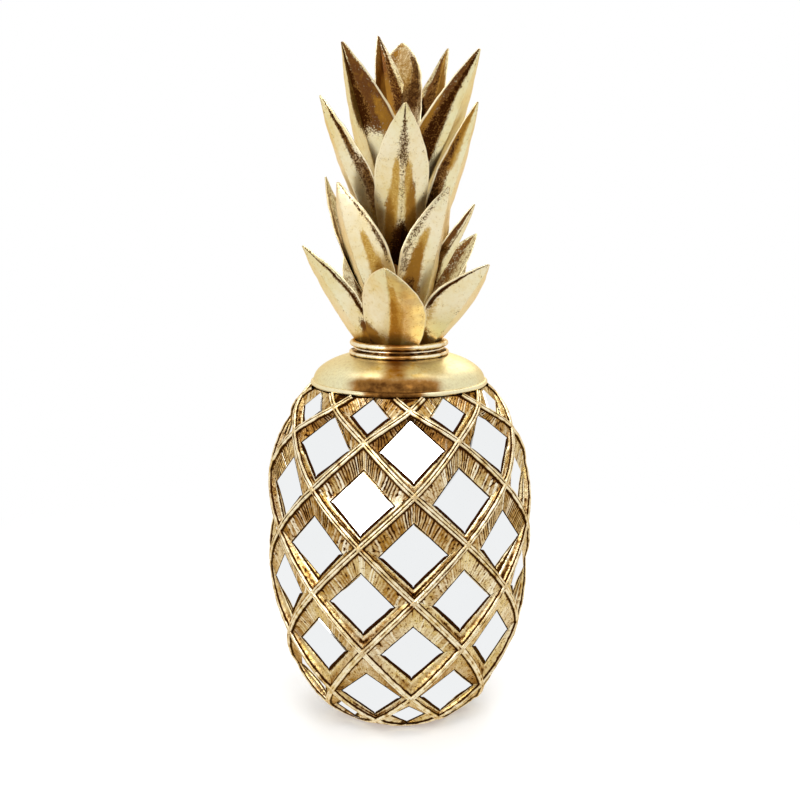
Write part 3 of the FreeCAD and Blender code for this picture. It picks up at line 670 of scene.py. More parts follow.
def cell_wall(shell, row, place, corner, lips, out, comb_depth, dice):
    """Bevelled wall from one rib's middle line down to the lip of the tile's pocket."""
    centre, corners = cell_centre(place), cell_corners(row, place)
    after = (corner + 1) % 4
    (turn_a, z_a, k_a), (turn_b, z_b, k_b) = corners[corner], corners[after]
    lip_a, lip_b = lips[corner], lips[after]
    share_a, share_b = CROSSING_SHARES[k_a], CROSSING_SHARES[k_b]
    inward = out.cross(lip_b - lip_a).normalized()
    if inward.dot(lips[(corner + 2) % 4] - lip_a) < 0:
        inward.negate()
    upper, side = corner in (0, 3), 1 if corner in (0, 1) else -1
    work = WallWork(row, centre, upper, dice)
    steps = WALL_STEPS if upper else WALL_STEPS // 3
    rows = []
    for i in range(steps + 1):
        s = i / steps
        from_top = s if side > 0 else 1 - s
        rib_height = crossing_height(k_a + (k_b - k_a) * s)
        straight = max(LATTICE_HEIGHT * (share_a + (share_b - share_a) * s), CELL_FOOT)
        z = z_a + (z_b - z_a) * s + (rib_height - straight)
        edge = surface_point(turn_a + (turn_b - turn_a) * s, on_body(z), -WALL_SINK)
        crest_turn = centre + side * HALF_STEP * (from_top if upper else 1 - from_top)
        crest = surface_point(crest_turn, on_body(rib_height), -CREST_SINK)
        lip = lip_a.lerp(lip_b, s)
        wall = (lip - edge).cross(lip_b - lip_a).normalized()
        if wall.dot(Vector((edge.x, edge.y, 0))) < 0:
            wall.negate()
        line = [shell.add(crest, groove=1.0, tone=1.0)]
        for t in WALL_COLUMNS:
            point = edge.lerp(lip, t)
            tone = work.tone + 0.5 * wavering(point, 6 * MM, 8.0)
            if upper:
                tone += (from_top - 0.35) * (1 - work.combed)
                point, shares = work.upper(point, wall, t, from_top, comb_depth)
            else:
                point, shares = work.lower(point, wall, t, from_top)
            grit = wavering(point, 1.3 * MM, 3.0) + 0.5 * wavering(point, 0.6 * MM, 4.0)
            sand = 0.8 + (1.2 * work.sandy * from_top if upper else 0.0)
            shares["groove"] += sand * max(grit - 0.12, 0.0) * (1 - t * 0.5)
            line.append(shell.add(point - wall * (grit * GRIT_DEPTH), tone=tone, **shares))
        if not upper:
            # Dark strip laid over the tile's lower edge as painted shadow
            reach = SHADOW_STRIP_WIDTH + SHADOW_STRIP_SWAY * wavering(lip, 6 * MM, 2.0)
            reach = TILE_GAP + reach * min(ramp(s, 0, 0.08), ramp(s, 1, 0.92))
            over = lip + out * (TILE_PROUD + SHADOW_STRIP_LIFT)
            inner = over + inward * reach
            for point in (over, inner, inner - out * SHADOW_STRIP_LIP):
                line.append(shell.add(point, groove=1.1, tone=1.0))
        rows.append(line)
    shell.grid(rows)


def shoulder_band(shell):
    """Small three-sided fields between the topmost crossings and the cap's seat."""
    first = LAST_CROSSING - 1
    reach = next(i / 500 for i in range(500)
                 if crossing_height(first + i / 500) > CAP_SEAT - SEAT_MARGIN)
    for n in range(CELLS_AROUND):
        centre = cell_centre(2 * n)
        tip = surface_point(centre, crossing_height(first), -CREST_SINK)
        rows = [[shell.add(tip, tone=1.0)] * (BAND_COLUMNS + 1)]
        for j in range(1, BAND_ROWS + 1):
            k = reach * j / BAND_ROWS
            row = []
            for i in range(BAND_COLUMNS + 1):
                turn = centre + HALF_STEP * k * (2 * i / BAND_COLUMNS - 1)
                point = surface_point(turn, on_body(crossing_height(first + k)), -CREST_SINK)
                point += point.normalized() * (wavering(point, 1.3 * MM, 3.0) * BAND_GRIT)
                groove = 0.6 + 0.9 * wavering(point, 2 * MM, 5.0)
                row.append(shell.add(point, tone=0.9, groove=groove))
            rows.append(row)
        shell.grid(rows)


def tile_pocket(shell, lips, out):
    """Straight sides and floor of a tile's pocket, painted dark as painted shadow round the tile.
    """
    floor = [corner - out * (TILE_THICKNESS - TILE_PROUD) for corner in lips]
    top = [shell.add(p, groove=1.0, tone=1.0) for p in lips + lips[:1]]
    low = [shell.add(p, groove=1.0, tone=1.0) for p in floor + floor[:1]]
    shell.grid([top, low])
    shell.faces.append(low[:4])


class PINEAPPLE_OT_cells(bpy.types.Operator):
    """Bevelled cell walls and tile pockets of the body"""

    bl_idname = "pineapple.cells"
    bl_label = "Cell walls"

    def execute(self, context):
        sizes, colours = context.scene.pineapple_sizes, context.scene.pineapple_colours
        shell = Shell("groove", "tone", "gleam")
        dice = random.Random(7)
        for row, place in cell_places():
            lips, out = tile_lip(row, place)
            for corner in range(4):
                cell_wall(shell, row, place, corner, lips, out, sizes.comb_depth, dice)
            tile_pocket(shell, lips, out)
        shoulder_band(shell)
        paint = Paint("combed_gold")
        groove, tone, gleam = paint.shares("groove", "tone", "gleam")
        material = leafed_gold(
            paint, colours,
            recess=groove.between(0.2, 0.8) * (0.8 + tone * 0.6) + (tone - 1.0).clamped() * 0.9,
            stain=(tone * (0.6 + groove * 1.5) - gleam * 0.6).clamped(),
            polish_and_highlight=gleam.between(0.15, 0.8), scale=900.0, rough=0.22, fleck=1.4,
            grain_depth=0.22, warmth=1.15, stipple=0.3)
        shell.piece("cell_walls", material, "gilt_casting", "body_casting")
        return {"FINISHED"}


def rib(shell, start, hand, bead_height):
    """One rib that winds up from the foot, to the left or to the right."""
    rows = []
    for i in range(RIB_STEPS + 1):
        k = LAST_CROSSING * i / RIB_STEPS
        z = crossing_height(k)
        if z >= CAP_SEAT - RIB_HEADROOM:
            continue
        turn = start + hand * HALF_STEP * k
        place, normal, _ = surface_frame(turn, z)
        ahead = surface_point(turn + hand * HALF_STEP * 0.01, crossing_height(k + 0.01))
        side = normal.cross(ahead - place).normalized()
        fade = min((z - CELL_FOOT) / RIB_FOOT_RISE + 0.35, 1.0)
        filled = 0.75 - 0.6 * ramp(z, *RIB_GROOVE_OPENS)
        line = []
        for u, sink, rise, crest in RIB_SECTION:
            height = sink + rise * bead_height
            if abs(u) < 0.2:
                height += (0.9 * bead_height - height) * filled
                crest += (0.9 - crest) * filled
            point = place + side * (u * RIB_WIDTH / 2) + normal * (height * fade)
            rough = wavering(point, 2.2 * MM, 9.0 + hand) * RIB_DENTS
            rough += wavering(point, 7 * MM, 4.0) * RIB_SWAY
            worn = wavering(point, 3.5 * MM, 15.0 + hand) + 0.5 * wavering(point, 1.2 * MM, 17.0)
            line.append(shell.add(point + normal * rough, crest=crest + 0.55 * worn))
        rows.append(line)
    shell.grid(rows, flip=hand < 0)


class PINEAPPLE_OT_ribs(bpy.types.Operator):
    """Sixteen helical ribs: two beads each, with a thin middle line and a line along each edge"""

    bl_idname = "pineapple.ribs"
    bl_label = "Lattice ribs"

    def execute(self, context):
        sizes, colours = context.scene.pineapple_sizes, context.scene.pineapple_colours
        shell = Shell("crest")
        for hand in (1, -1):
            for n in range(CELLS_AROUND):
                rib(shell, cell_centre(2 * n), hand, sizes.bead_height)
        paint = Paint("rib_gold")
        [crest] = paint.shares("crest")
        material = leafed_gold(
            paint, colours, recess=(1 - crest).between(0.2, 0.9) * 1.3,
            stain=((1 - crest) * 0.9).clamped(), polish_and_highlight=crest.between(0.7, 1.2) * 0.75,
            scale=1100.0, rough=0.25, fleck=1.1, warmth=1.15)
        shell.piece("lattice_ribs", material, "gilt_casting", "body_casting")
        return {"FINISHED"}


def knob(shell, turn, z, width):
    """Rounded square boss that stands on its point over a crossing."""
    place, normal, across = surface_frame(turn, z)
    rise = normal.cross(across)
    quarter_turn = Matrix.Rotation(math.radians(45), 3, normal)
    size = width / 2 * min(0.55 + z / (40 * MM), 1.0)
    rows = []
    for reach, height in KNOB_RINGS:
        ring = []
        for i in range(KNOB_SIDES):
            angle = 2 * math.pi * i / KNOB_SIDES
            c, s = math.cos(angle), math.sin(angle)
            bulge = (abs(c) ** 3 + abs(s) ** 3) ** (-1 / 3)
            side = quarter_turn @ (across * (c * bulge) + rise * (s * bulge))
            point = place + side * (size * reach) + normal * (height * KNOB_RISE)
            point += normal * (wavering(point, 1.4 * MM, 2.0) * KNOB_GRIT)
            ring.append(shell.add(point, crest=max(height / KNOB_RINGS[0][1], 0.0)))
        rows.append(ring)
    shell.grid(rows, closed=True, flip=True)


class PINEAPPLE_OT_knobs(bpy.types.Operator):
    """Rounded boss on each crossing of the ribs"""

    bl_idname = "pineapple.knobs"
    bl_label = "Crossing knobs"

    def execute(self, context):
        sizes, colours = context.scene.pineapple_sizes, context.scene.pineapple_colours
        shell = Shell("crest")
        for k in range(1, LAST_CROSSING):
            z = crossing_height(k)
            if z <= CAP_SEAT - KNOB_HEADROOM:
                for n in range(CELLS_AROUND):
                    knob(shell, cell_centre(2 * n + k % 2), z, sizes.knob_width)
        paint = Paint("knob_gold")
        [crest] = paint.shares("crest")
        material = leafed_gold(
            paint, colours, recess=(1 - crest).between(0.15, 0.8),
            stain=(1 - crest) * 0.8 + 0.3, polish_and_highlight=crest * 0.1, scale=1100.0, rough=0.32, fleck=1.1)
        shell.piece("crossing_knobs", material, "gilt_casting", "body_casting")
        return {"FINISHED"}


class PINEAPPLE_OT_foot(bpy.types.Operator):
    """Rough band below the lowest cells, the resting face and the pad's recess"""

    bl_idname = "pineapple.foot"
    bl_label = "Foot"

    def execute(self, context):
        colours = context.scene.pineapple_colours
        shell = Shell("under")
        columns = []
        for i in range(CELLS_AROUND * FOOT_COLUMNS):
            swing = (i % FOOT_COLUMNS) / FOOT_COLUMNS * 2 - 1
            columns.append((cell_centre(2 * i / FOOT_COLUMNS), crossing_height(1 - abs(swing))))
        rows = []
        for j in range(FOOT_ROWS + 1):
            ring = []
            for turn, top in columns:
                z = top + (FOOT_LEVEL - top) * j / FOOT_ROWS
                point, normal, _ = surface_frame(turn, z)
                point += normal * (wavering(point, 1.5 * MM, 5.0) * FOOT_GRIT - CREST_SINK)
                if j == FOOT_ROWS:
                    point.z = FOOT_LEVEL
                ring.append(shell.add(point))
            rows.append(ring)
        for z in (FOOT_LEVEL, PAD_ROOM_TOP):
            rows.append([])
            for turn, _ in columns:
                c, s = math.cos(math.radians(turn)), math.sin(math.radians(turn))
                point = Vector((PAD_ROOM_RADIUS * c, PAD_ROOM_RADIUS * s, z))
                rows[-1].append(shell.add(point, under=1.0))
        shell.grid(rows, closed=True, flip=True)
        shell.faces.append(rows[-1])
        paint = Paint("foot_gold")
        [under] = paint.shares("under")
        material = leafed_gold(
            paint, colours, recess=0.4 + under * 0.2, stain=0.6 - under * 0.2,
            polish_and_highlight=0.2 - under * 0.2, scale=1100.0, rough=0.3, fleck=1.8, grain_depth=0.5,
            stipple=0.8)
        shell.piece("foot_band", material, "gilt_casting", "body_casting")
        return {"FINISHED"}


def lathe(shell, profile, sway, wear, washes):
    """Revolves a profile of radius, height and crest, uneven by sway and worn on its crests."""
    rows = []
    for radius, z, crest in profile:
        ring = []
        for i in range(LATHE_STEPS):
            angle = 2 * math.pi * i / LATHE_STEPS
            point = Vector((radius * math.cos(angle), radius * math.sin(angle), z))
            push = 1 + wavering(point, 14 * MM, 1.0) * sway / max(radius, MM)
            point = Vector((point.x * push, point.y * push, z))
            worn = wavering(point, 2.5 * MM, 3.0) + 0.6 * wavering(point, 1.1 * MM, 7.0)
            ring.append(shell.add(point, crest=crest + wear * worn, **washes(point)))
        rows.append(ring)
    shell.grid(rows, closed=True)


def arc_points(centre, size, start, end, count, crest=1.0):
    """Points of an arc in a half section, angles counted from outward to up."""
    points = []
    for i in range(count + 1):
        angle = math.radians(start + (end - start) * i / count)
        points.append((centre[0] + size[0] * math.cos(angle),
                       centre[1] + size[1] * math.sin(angle), crest))
    return points


def from_front(point):
    """Direction in degrees round from the front, to the right."""
    return math.degrees(math.atan2(point.x, -point.y))


class PINEAPPLE_OT_cap(bpy.types.Operator):
    """Domed shoulder cap with a rolled rim"""

    bl_idname = "pineapple.cap"
    bl_label = "Shoulder cap"

    def washes(self, point):
        """Painted reflection of the dark room: amber down the front between two painted highlights,
        dark low down.
        """
        turn = from_front(point)
        lift = (point.z - CAP_SEAT - CAP_RIM) / MM
        front = max(hump(turn, -4, 12, 4), 0.4 * hump(turn, 0, 34, 4))
        rubbed = (hump(turn, -18, 7) + hump(turn, 13, 9)) * hump(lift, 8, 3, 4)
        spread = 31 if lift > -0.2 else 19
        low = ramp(lift, 6.4, 3.4)
        return {"shade": hump(turn, -3, spread, 6) * low,
                "stain": front * (1 - rubbed) * (1 - 0.6 * low), "rubbed": rubbed}

    def execute(self, context):
        colours = context.scene.pineapple_colours
        shell = Shell("crest", "shade", "stain", "rubbed")
        foot = CAP_SEAT + CAP_RIM
        dome = (CAP_RADIUS - CAP_RIM_STEP, CAP_RISE)
        neck_angle = math.degrees(math.acos(COLLAR_BEADS[0][0] / dome[0]))
        profile = [
            (CAP_RADIUS - 5 * MM, CAP_SEAT + 0.3 * MM, 0.0),
            *arc_points((CAP_RADIUS - CAP_RIM / 2, CAP_SEAT + CAP_RIM / 2),
                        (CAP_RIM / 2, CAP_RIM / 2), -100, 78, 14),
            (CAP_RADIUS - 1.0 * MM, foot - 0.06 * MM, 0.45),
            *arc_points((0, foot), dome, 1.5, neck_angle, 30, 0.5),
            (COLLAR_BEADS[0][0] - 3 * MM, COLLAR_SEAT + 0.2 * MM, 0.0)]
        lathe(shell, profile, sway=0.25 * MM, wear=0.0, washes=self.washes)
        paint = Paint("cap_gold")
        crest, shade, stain, rubbed = paint.shares("crest", "shade", "stain", "rubbed")
        # The front is darkened and warmed as painted reflection, and the two spots turn honey as
        # painted highlights.
        material = leafed_gold(
            paint, colours, recess=((0.35 - crest) * 3.0).clamped() + shade * 0.74,
            stain=(0.5 - crest).larger(0.0) + stain, polish_and_highlight=crest.between(0.8, 1.0) * 0.3,
            scale=520.0, base=colours.pale, rough=0.27, fleck=0.15, grain_depth=0.1,
            warmth=rubbed * 1.6 + 0.25, stipple=0.14)
        shell.piece("cap_dome", material, "gilt_cap", "shoulder_cap")
        return {"FINISHED"}


class PINEAPPLE_OT_collar(bpy.types.Operator):
    """Neck collar of three rounded beads with a dished top"""

    bl_idname = "pineapple.collar"
    bl_label = "Neck collar"

    def washes(self, point):
        """Amber and brown down the front of the rings, as painted reflection of the dark room in
        front.
        """
        turn = from_front(point)
        worn = 1 + 0.4 * wavering(point, 3 * MM, 21.0)
        return {"stain": (hump(turn, 0, 17, 4) + 0.3 * hump(abs(turn), 62, 12)) * worn}

    def execute(self, context):
        colours = context.scene.pineapple_colours
        shell = Shell("crest", "stain")
        profile = []
        z = COLLAR_SEAT
        for radius, height in COLLAR_BEADS:
            core, middle = radius - height / 2, z + height / 2
            round_bead = arc_points((core, middle), (height / 2, height * 0.46), -80, 80, 14)
            profile.append((core - BEAD_NICK, z + 0.05 * MM, 0.0))
            for r, level, _ in round_bead:
                off_crest = abs(level - middle - height * 0.12) / height * 2
                profile.append((r, level, 1 - 0.9 * off_crest))
            profile.append((core - BEAD_NICK, z + height - 0.05 * MM, 0.0))
            z += height
        profile[-1:] = [
            (COLLAR_DISH_RADIUS + 0.3 * MM, z - 0.1 * MM, 0.9),
            (COLLAR_DISH_RADIUS, z - 0.5 * MM, 0.4), (COLLAR_DISH_RADIUS, STEM_SEAT, 0.0),
            (STEM_FOOT_RADIUS - MM, STEM_SEAT, 0.0)]
        lathe(shell, profile, sway=0.2 * MM, wear=0.5, washes=self.washes)
        paint = Paint("collar_gold")
        crest, stain = paint.shares("crest", "stain")
        # The front is darkened and warmed as painted reflection of the dark room, and loses its
        # polish there.
        material = leafed_gold(
            paint, colours, recess=(1 - crest).between(0.68, 1.15) * 0.9 + stain * 0.42,
            stain=(0.28 - crest * 0.25 + stain * 0.8).clamped(),
            polish_and_highlight=crest.between(0.3, 0.8) * (1 - stain),
            scale=700.0, rough=0.17, fleck=0.4, warmth=0.7)
        shell.piece("collar_beads", material, "gilt_cap", "neck_collar")
        return {"FINISHED"}


def point_round(turn, radius, z):
    """Point whose direction is counted round from the front, to the right."""
    turn = math.radians(turn)
    return Vector((radius * math.sin(turn), -radius * math.cos(turn), z))


def width_share(share, widest, root, power):
    """Half width along a leaf: it swells from the root to its widest point, then tapers."""
    if share < widest:
        return 1 - (1 - root) * ((widest - share) / widest) ** 2
    return 1 - (1 - TIP_WIDTH_SHARE) * ((share - widest) / (1 - widest)) ** power


def leaf_tarnish_and_shade(name, along, across, inner):
    """Shares of the washes, tarnish and painted shade, at one place of a leaf."""
    shares = {"umber": INNER_FACE_SHADE if inner else 0.0, "amber": 0.0, "dark_speckle": 0.0}
    for wash, start, start_across, end, end_across, reach, strength in LEAF_TARNISH_AND_SHADE[name]:
        t = ramp(along, start, end)
        middle = start_across + (end_across - start_across) * t
        aside = (across - middle) / (reach * (0.45 + 0.55 * t))
        beyond = max(along - start, end - along, 0.0) / WASH_RUNOUT
        fade = ramp(math.hypot(aside, beyond), 1.55, 0.55)
        shares[wash] = max(shares[wash], strength * fade * fade * (3 - 2 * fade))
    return shares


def leaf_axes(name):
    """Root, length and directions along, out of and across a leaf."""
    turn, drift, roll, root_share, rise_share, reach_share = LEAVES[name][:6]
    low = root_share == 0
    root_z = STEM_SEAT + CROWN_HEIGHT * root_share - (LEAF_ROOT_DEPTH if low else 0)
    taper = (STEM_TOP_RADIUS - STEM_FOOT_RADIUS) * (root_z - STEM_SEAT) / STEM_HEIGHT
    root_radius = LOW_LEAF_ROOT_RADIUS if low else STEM_FOOT_RADIUS + taper - LEAF_ROOT_DEPTH
    root = point_round(turn, root_radius, root_z)
    end = point_round(turn + drift, LEAF_REACH * reach_share,
                      STEM_SEAT + CROWN_HEIGHT * rise_share)
    along = (end - root).normalized()
    out = point_round(turn, 1, 0)
    out = (out - along * out.dot(along)).normalized()
    tilt = Matrix.Rotation(math.radians(roll), 3, along)
    return root, (end - root).length, along, tilt @ out, tilt @ along.cross(out)


def leaf_shell(name, sizes, seed):
    """Creased leaf: a thin lens folded along its bowed keel."""
    root, length, along, out, across = leaf_axes(name)
    half_share, fold, bow, widest, power = LEAVES[name][6:]
    root_width = ROOT_WIDTH_SHARE if LEAVES[name][3] else LOW_ROOT_WIDTH_SHARE
    half = LEAF_HALF_WIDTH * half_share
    columns = [-v for v in BLADE_COLUMNS[:0:-1]] + list(BLADE_COLUMNS)
    shell = Shell("edge", "along", "umber", "amber", "dark_speckle")
    skins = ([], [])
    for i in range(LEAF_STEPS + 1):
        s = 1 - (1 - i / LEAF_STEPS) ** 1.3
        keel = root + along * (length * s) + out * (bow * half * 4 * s * (1 - s))
        width = half * width_share(s, widest, root_width, power)
        blunt = ramp(s, 1, 0.9)
        for inner, rows in enumerate(skins):
            row = []
            for u in columns:
                v = abs(u)
                lens = (1 - v ** 3) * sizes.leaf_thickness / 2 * (0.4 + 0.6 * blunt) + LEAF_RIM
                point = keel + across * (u * width) - out * (fold * width * v * (0.88 + 0.12 * v))
                wave = wavering(point, 9 * MM, seed) + 0.4 * wavering(point, 3.5 * MM, seed + 5)
                wave *= sizes.leaf_wave * min(v * 3, 1)
                nibble = wavering(Vector((0, u * 2 * MM, s * length)), 4 * MM, seed + 9) * v ** 4
                point += out * (wave * blunt)
                point += across * (nibble * LEAF_NIBBLE * blunt * (1 if u > 0 else -1))
                point += out * (-lens if inner else lens)
                row.append(shell.add(point, edge=v, along=s, **leaf_tarnish_and_shade(name, s, u, inner)))
            rows.append(row)
    outer, inner = skins
    shell.grid(outer)
    shell.grid(inner, flip=True)
    shell.grid([[r[0] for r in inner], [r[0] for r in outer]], flip=True)
    shell.grid([[r[-1] for r in inner], [r[-1] for r in outer]])
    shell.grid([outer[-1], inner[-1]])
    shell.grid([outer[0], inner[0]], flip=True)
    return shell


class PINEAPPLE_OT_leaves(bpy.types.Operator):
    """Crown of creased leaves"""

    bl_idname = "pineapple.leaves"
    bl_label = "Crown leaves"

    def leaf_gold(self, colours):
        """Satin gold under speckled washes of tarnish and painted shade, dark roots and a painted
        highlight on the edges.
        """
        paint = Paint("leaf_gold")
        edge, along, umber, amber, dark_speckle = paint.shares("edge", "along", "umber", "amber", "dark_speckle")
        place = paint.place()
        cloud = paint.grain(place, 45.0, 3.0)
        mottle = paint.grain(place, 420.0, 5.0, 0.7)
        fine = paint.grain(place, 2000.0, 3.0, 0.7)
        drift = paint.grain(place, 26.0, 2.0)
        speckle, blotch = fine - 0.5, mottle - 0.5
        warm = (cloud.between(0.36, 0.7) * 0.5 + mottle.between(0.42, 0.72) * 0.35).clamped()
        metal = paint.blend(drift.between(0.4, 0.62), colours.pale, colours.blush)
        metal = paint.blend(warm, metal, colours.honey)
        root = (1 - along).between(0.76, 0.94) * (0.6 + cloud)
        # The amber, umber and dark speckle washes stand partly for tarnish and partly for painted
        # shade and reflection.
        gold = (amber.larger(root) + blotch * 0.8 + speckle * 1.8).between(0.25, 0.75)
        stain = fine.between(0.42, 0.66) * 0.75 + cloud * 0.15
        metal = paint.blend(gold, metal, paint.blend(stain, colours.amber, colours.honey))
        brown = (umber + root * 0.25 + blotch * 1.2 + speckle * 2.2).between(0.3, 0.7)
        warmer = (gold * 0.6 + mottle.between(0.5, 0.7) * 0.3).clamped()
        metal = paint.blend(brown, metal, paint.blend(warmer, colours.umber, colours.amber))
        keel, rim = (1 - edge).between(0.8, 1.0), edge.between(0.7, 0.9)
        tip = along.between(0.85, 1.0)
        speck = fine + mottle * 0.4 + dark_speckle * 0.34 + keel * 0.05 + rim * 0.05 + tip * 0.1
        speck = speck.between(0.84, 0.98).larger(dark_speckle.between(0.3, 1.0) * 0.58)
        root_dark = (1 - along).between(0.93, 1.0) * mottle.between(0.4, 0.6)
        dark = speck.larger(root_dark).clamped()
        metal = paint.darkened(metal, dark, colours)
        # Painted highlight: a champagne line along the edge of every leaf.
        metal = paint.blend(edge.between(0.93, 0.97) * 0.85, metal, colours.champagne)
        height = fine * 0.5 + mottle * 0.7 - dark * 0.4
        return paint.surface(
            Base_Color=metal, Metallic=1 - gold * 0.35,
            Roughness=(0.22 + mottle * 0.14 + dark * 0.2 + fine * 0.08).clamped(),
            Specular_IOR_Level=0.1, Specular_Tint=(*colours.edge_tint, 1.0),
            Normal=paint.bump(height, BUMP_STRENGTH, 0.12 * MM))

    def execute(self, context):
        sizes, colours = context.scene.pineapple_sizes, context.scene.pineapple_colours
        material = self.leaf_gold(colours)
        for seed, name in enumerate(LEAVES):
            shell = leaf_shell(name, sizes, seed * 3.1)
            shell.piece(name.replace("leaf_", "blade_"), material, "leaf_brass", name)
        return {"FINISHED"}


class PINEAPPLE_OT_carried(bpy.types.Operator):
    """Finishes of the mirror tiles, stem, rod, washer, nut and pad"""

    bl_idname = "pineapple.carried"
    bl_label = "Tiles, stem and foot pieces"

    def mirror_glass(self, colours):
        paint = Paint("silvered_glass")
        place = paint.place()
        haze = paint.grain(place, 60.0, 3.0)
        specks = paint.grain(place, 1800.0, 2.0)
        tint = paint.blend(haze.between(0.3, 0.7) * 0.25, colours.mirror, colours.haze)
        tint = paint.blend(specks.between(0.74, 0.8) * 0.2, tint, colours.dust)
        return paint.surface(
            Base_Color=tint, Metallic=1.0, Roughness=0.015 + haze * 0.03,
            Normal=paint.bump(haze, 0.05, 0.1 * MM))

    def plated_steel(self, colours):
        paint = Paint("plated_steel")
        place = paint.place()
        brushed = paint.grain(paint.stretched(place, (1.0, 1.0, 0.06)), 2500.0, 3.0)
        cloud = paint.grain(place, 300.0, 3.0)
        colour = paint.blend(cloud, colours.steel, tuple(0.6 * c for c in colours.steel))
        return paint.surface(
            Base_Color=colour, Metallic=1.0, Roughness=0.3 + brushed * 0.2,
            Normal=paint.bump(brushed, 0.3, 0.1 * MM))

    def felt(self, colours):
        paint = Paint("pad_felt")
        place = paint.place()
        fibres = paint.grain(paint.stretched(place, (1.0, 0.35, 1.0)), 2600.0, 4.0, 0.7)
        cloud = paint.grain(place, 120.0, 3.0)
        lighter = tuple(2.2 * c for c in colours.felt)
        worn = (fibres * 0.6 + cloud * 0.4).between(0.3, 0.7)
        return paint.surface(
            Base_Color=paint.blend(worn, colours.felt, lighter),
            Roughness=0.9 + fibres * 0.08, Sheen_Weight=0.3,
            Normal=paint.bump(fibres, 0.8, 0.3 * MM))

    def stem_gold(self, colours):
        paint = Paint("stem_gold")
        place = paint.place()
        return leafed_gold(
            paint, colours, recess=paint.grain(place, 90.0) * 0.8,
            stain=paint.grain(place, 40.0) + 0.4, polish_and_highlight=paint.grain(place, 150.0) * 0.1,
            scale=650.0, rough=0.3)

    def execute(self, context):
        colours = context.scene.pineapple_colours
        finishes = dict.fromkeys(TILE_ROWS, self.mirror_glass(colours))
        finishes.update(dict.fromkeys(("tie_rod", "rod_washer", "rod_nut"),
                                      self.plated_steel(colours)))
        finishes["crown_stem"] = self.stem_gold(colours)
        finishes["foot_pad"] = self.felt(colours)
        for name, material in finishes.items():
            mesh = NODES[name].data
            if not mesh.materials:
                mesh.materials.append(material)
            for i in range(len(mesh.materials)):
                mesh.materials[i] = material
        return {"FINISHED"}


def on_stage(name, data, reach, way, aim):
    """Lamp or camera that faces the ornament's axis at the aimed height."""
    made = bpy.data.objects.new(name, data)
    made.location = Vector((0, 0, aim)) + way * reach
    made.rotation_euler = way.to_track_quat("Z", "Y").to_euler()
    bpy.context.scene.collection.objects.link(made)
    return made


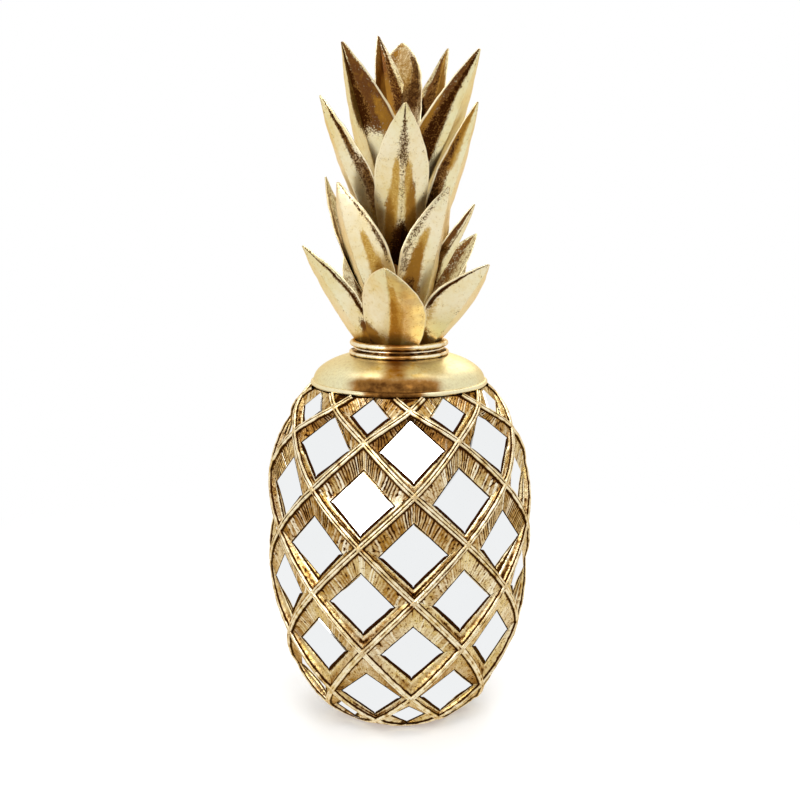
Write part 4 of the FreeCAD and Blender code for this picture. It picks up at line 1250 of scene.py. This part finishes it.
class PINEAPPLE_OT_stage(bpy.types.Operator):
    """Pale floor, soft studio light and camera"""

    bl_idname = "pineapple.stage"
    bl_label = "Stage"

    def floor(self):
        """Pale floor that keeps the ornament's shadow and is white to the camera further off."""
        mesh = bpy.data.meshes.new("floor")
        corners = [(x * FLOOR_REACH, y * FLOOR_REACH, 0)
                   for x, y in ((-1, -1), (1, -1), (1, 1), (-1, 1))]
        mesh.from_pydata(corners, [], [(0, 1, 2, 3)])
        paint = Paint("floor_white")
        camera, glossy, through = paint.rays()
        place = paint.place()
        away = paint.node("ShaderNodeVectorMath", {"operation": "LENGTH"}, {0: place}, output=1)
        white = (away.between(0.12, 0.42) * camera).larger(glossy).larger(through)
        glow = paint.blend(camera, BLACK, FLOOR_GLOW)
        tone = paint.blend(paint.grain(place, 3.0), *FLOOR_TONES)
        mesh.materials.append(paint.surface(
            Base_Color=paint.blend(white, tone, BLACK), Roughness=0.9, Specular_IOR_Level=0.0,
            Emission_Color=paint.blend(white, glow, WHITE), Emission_Strength=1.0))
        made = bpy.data.objects.new("floor", mesh)
        bpy.context.scene.collection.objects.link(made)

    def surroundings(self, studio):
        """White surroundings with a dim flag behind the camera that only the metal sees."""
        paint = Paint("studio", "worlds")
        bpy.context.scene.world = paint.owner
        camera, glossy, through = paint.rays()
        seen = camera.larger(glossy).larger(through)
        way = paint.node("ShaderNodeTexCoord", output="Generated")
        y, z = (paint.node("ShaderNodeSeparateXYZ", None, {0: way}, output=n) for n in (1, 2))
        flag = (0 - y).between(0.80, 0.93) * (1 - z.between(0.28, 0.46))
        flag = (flag + z.between(0.84, 0.95) * 0.6) * (1 - camera)
        colour = paint.blend(flag, WHITE, studio.flag_colour)
        strength = studio.ambient + seen * (1.0 - studio.ambient)
        light = paint.node("ShaderNodeBackground", None, {"Color": colour, "Strength": strength})
        paint.node("ShaderNodeOutputWorld", None, {"Surface": light})

    def lamp(self, name, azimuth, elevation, reach, size, power):
        """Square soft lamp that faces the ornament's middle."""
        data = bpy.data.lights.new(name, "AREA")
        data.shape, data.size, data.energy = "SQUARE", size, power
        elevation = math.radians(elevation)
        way = point_round(azimuth, math.cos(elevation), math.sin(elevation))
        on_stage(name, data, reach, way, LAMP_AIM)

    def camera(self, studio):
        data = bpy.data.cameras.new("camera")
        data.sensor_width, data.lens, data.shift_x = SENSOR_WIDTH, LENS, ONE_PIXEL
        data.clip_start, data.clip_end = 0.01, 20.0
        way = point_round(0, math.cos(studio.elevation), math.sin(studio.elevation))
        made = on_stage("camera", data, studio.distance, way, studio.aim_height)
        bpy.context.scene.camera = made

    def execute(self, context):
        studio = context.scene.pineapple_studio
        self.floor()
        self.surroundings(studio)
        for name, settings in LAMPS.items():
            self.lamp(name, *settings)
        self.camera(studio)
        context.scene.view_settings.view_transform = "Standard"
        return {"FINISHED"}


class PINEAPPLE_PT_panel(bpy.types.Panel):
    """Lists the ornament's builders"""

    bl_label = "Pineapple Ornament"
    bl_idname = "PINEAPPLE_PT_panel"
    bl_space_type = "VIEW_3D"
    bl_region_type = "UI"
    bl_category = "Pineapple"

    def draw(self, context):
        for name in GROUPS:
            group = getattr(context.scene, name)
            box = self.layout.box()
            for key in group.__annotations__:
                box.prop(group, key)
        for operator in BUILDERS:
            self.layout.operator(operator.bl_idname)


GROUPS = {"pineapple_sizes": PineappleSizes, "pineapple_colours": PineappleColours,
          "pineapple_studio": PineappleStudio}
BUILDERS = (PINEAPPLE_OT_cells, PINEAPPLE_OT_ribs, PINEAPPLE_OT_knobs, PINEAPPLE_OT_foot,
            PINEAPPLE_OT_cap, PINEAPPLE_OT_collar, PINEAPPLE_OT_leaves, PINEAPPLE_OT_carried,
            PINEAPPLE_OT_stage)


def register():
    for cls in (*GROUPS.values(), *BUILDERS, PINEAPPLE_PT_panel):
        bpy.utils.register_class(cls)
    for name, group in GROUPS.items():
        setattr(bpy.types.Scene, name, PointerProperty(type=group))


def unregister():
    for name in GROUPS:
        delattr(bpy.types.Scene, name)
    for cls in reversed((*GROUPS.values(), *BUILDERS, PINEAPPLE_PT_panel)):
        bpy.utils.unregister_class(cls)


def main():
    register()
    bpy.ops.pineapple.cells()
    bpy.ops.pineapple.ribs()
    bpy.ops.pineapple.knobs()
    bpy.ops.pineapple.foot()
    bpy.ops.pineapple.cap()
    bpy.ops.pineapple.collar()
    bpy.ops.pineapple.leaves()
    bpy.ops.pineapple.carried()
    bpy.ops.pineapple.stage()


if __name__ == "__main__":
    main()
